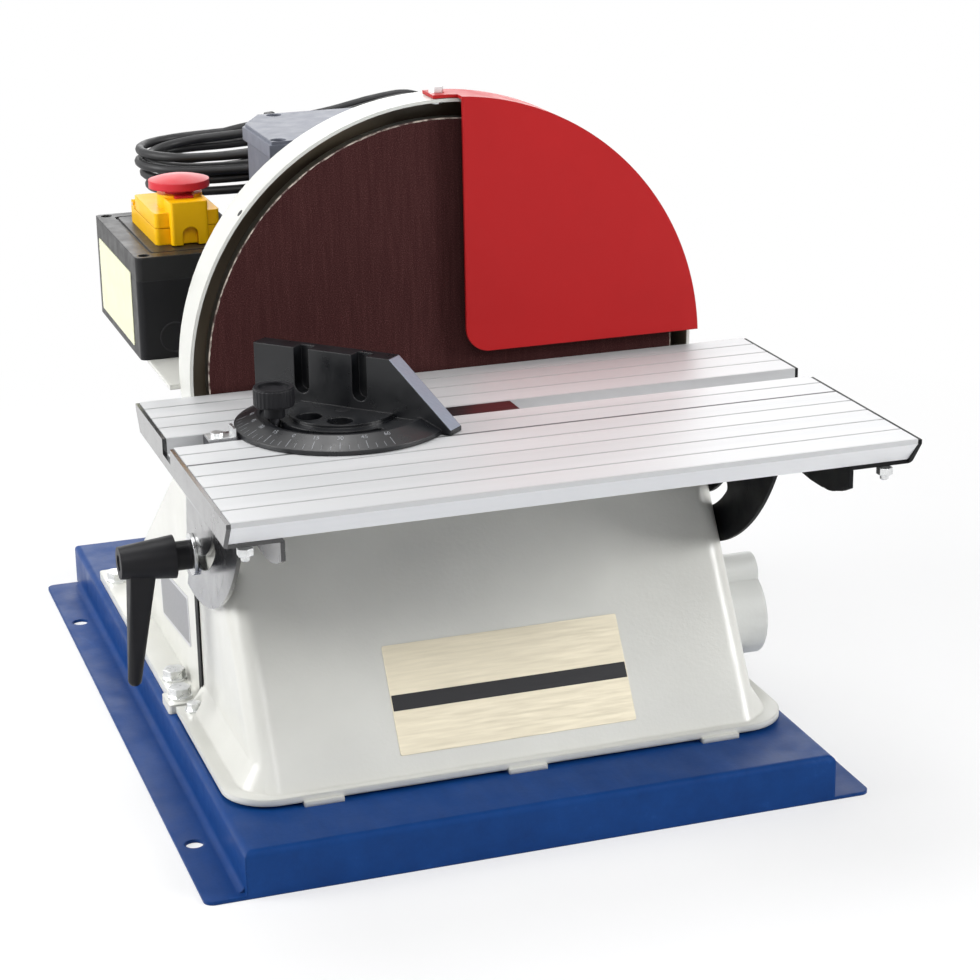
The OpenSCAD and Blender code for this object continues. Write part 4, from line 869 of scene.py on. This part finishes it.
# Guard with a shorter lip, and the rim opened from inside with the screw's nut up against it
RIM_IN, RIM_THIN, RIM_BACK, RIM_SLACK = 0.157, 0.160, -0.0599, 0.0004
LIP_END, WELD = -0.0052, 1e-7


def stands_for(name, mesh, node, material):
    mesh.name = name
    mesh.materials.clear()
    mesh.materials.append(material)
    obj = bpy.data.objects.new(name, mesh)
    scene.collection.objects.link(obj)
    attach(obj, "frame")
    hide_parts(node)


def short_guard():
    """The guard with its lip cut off just past the screw."""
    mesh = nodes["disc_guard"].data.copy()
    bm = bmesh.new()
    bm.from_mesh(mesh)
    bmesh.ops.remove_doubles(bm, verts=bm.verts, dist=WELD)
    cut = bmesh.ops.bisect_plane(bm, geom=bm.verts[:] + bm.edges[:] + bm.faces[:], dist=WELD,
                                 plane_co=(LIP_END, 0, 0), plane_no=(1, 0, 0), clear_inner=True)
    edges = [e for e in cut["geom_cut"] if isinstance(e, bmesh.types.BMEdge)]
    filled = bmesh.ops.edgeloop_fill(bm, edges=edges)
    bmesh.ops.triangulate(bm, faces=filled["faces"])
    bmesh.ops.recalc_face_normals(bm, faces=bm.faces)
    bm.to_mesh(mesh)
    bm.free()
    stands_for("guard_with_short_lip", mesh, "disc_guard", RED)


def guard_screw():
    """The guard's screw with its nut and end raised to the thin rim."""
    mesh = nodes["guard_screws"].data.copy()
    for v in mesh.vertices:
        if v.co.z - AXIS_Z < RIM_IN:
            v.co.z += RIM_THIN - RIM_IN
    stands_for("guard_screw_and_nut", mesh, "guard_screws", ZINC)


def thin_rim():
    mesh = nodes["disc_housing"].data.copy()
    for v in mesh.vertices:
        r = math.hypot(v.co.x, v.co.z - AXIS_Z)
        if abs(r - RIM_IN) < RIM_SLACK and v.co.y < RIM_BACK:
            grow = RIM_THIN / r
            v.co.x *= grow
            v.co.z = AXIS_Z + (v.co.z - AXIS_Z) * grow
    stands_for("housing_with_thin_rim", mesh, "disc_housing", RIM)


short_guard()
guard_screw()
thin_rim()


# Floor, world and soft lamps
FLOOR_CORNERS = [(-6, -6, 0), (6, -6, 0), (6, 8, 0), (-6, 8, 0)]
FLOOR_FADE = {"From Min": 0.4, "From Max": 0.9, "To Min": 0.55, "To Max": 1.0}
WORLD_GLOW = {"To Min": 0.11, "To Max": 1.0}


def white_to_camera(tree):
    """One where the camera, a reflection or a refraction looks, else zero."""
    path = add_node(tree, "ShaderNodeLightPath")
    total = path.outputs["Is Camera Ray"]
    for key in ("Is Glossy Ray", "Is Transmission Ray"):
        n = add_node(tree, "ShaderNodeMath", operation="MAXIMUM")
        tree.links.new(total, n.inputs[0])
        tree.links.new(path.outputs[key], n.inputs[1])
        total = n.outputs[0]
    return total


def make_floor():
    mesh = bpy.data.meshes.new("floor")
    mesh.from_pydata(FLOOR_CORNERS, [], [(0, 1, 2, 3)])
    floor = bpy.data.objects.new("floor", mesh)
    scene.collection.objects.link(floor)
    mat = bpy.data.materials.new("floor")
    mat.use_nodes = True
    tree = mat.node_tree
    tree.nodes.remove(tree.nodes["Principled BSDF"])
    diffuse = add_node(tree, "ShaderNodeBsdfDiffuse", Color=(0.92, 0.92, 0.93, 1))
    glow = add_node(tree, "ShaderNodeEmission")
    coords = add_node(tree, "ShaderNodeTexCoord")
    away = add_node(tree, "ShaderNodeVectorMath", operation="LENGTH")
    fade = add_node(tree, "ShaderNodeMapRange", **FLOOR_FADE)
    share = add_node(tree, "ShaderNodeMath", operation="MULTIPLY")
    mix = add_node(tree, "ShaderNodeMixShader")
    for a, b in (
        (coords.outputs["Object"], away.inputs[0]),
        (away.outputs["Value"], fade.inputs["Value"]),
        (white_to_camera(tree), share.inputs[0]),
        (fade.outputs["Result"], share.inputs[1]),
        (share.outputs[0], mix.inputs["Fac"]),
        (diffuse.outputs[0], mix.inputs[1]),
        (glow.outputs[0], mix.inputs[2]),
        (mix.outputs[0], tree.nodes["Material Output"].inputs["Surface"]),
    ):
        tree.links.new(a, b)
    mesh.materials.append(mat)


def make_world():
    world = bpy.data.worlds.new("studio")
    scene.world = world
    world.use_nodes = True
    tree = world.node_tree
    back = tree.nodes["Background"]
    back.inputs["Color"].default_value = (1, 1, 1, 1)
    n = add_node(tree, "ShaderNodeMapRange", **WORLD_GLOW)
    tree.links.new(white_to_camera(tree), n.inputs["Value"])
    tree.links.new(n.outputs["Result"], back.inputs["Strength"])


def lamp(name, at, aim, size, power):
    data = bpy.data.lights.new(name, "AREA")
    data.shape = "DISK"
    data.size = size
    data.energy = power
    obj = bpy.data.objects.new(name, data)
    scene.collection.objects.link(obj)
    obj.location = at
    obj.rotation_euler = (Vector(aim) - Vector(at)).to_track_quat("-Z", "Y").to_euler()


make_floor()
make_world()
lamp("left", (-1.9, 0.2, 1.0), (0, -0.05, 0.2), 1.2, 34)
lamp("front", (-0.4, -1.7, 1.7), (0, -0.1, 0.2), 0.9, 12)
lamp("right", (1.75, -1.3, 1.1), (0.05, -0.1, 0.15), 0.9, 31)
lamp("top", (-0.2, 0.3, 2.1), (0, 0, 0.2), 1.2, 18)
lamp("back", (0.7, 2.2, 1.1), (0, 0, 0.25), 2.0, 14)

bpy.context.view_layer.update()
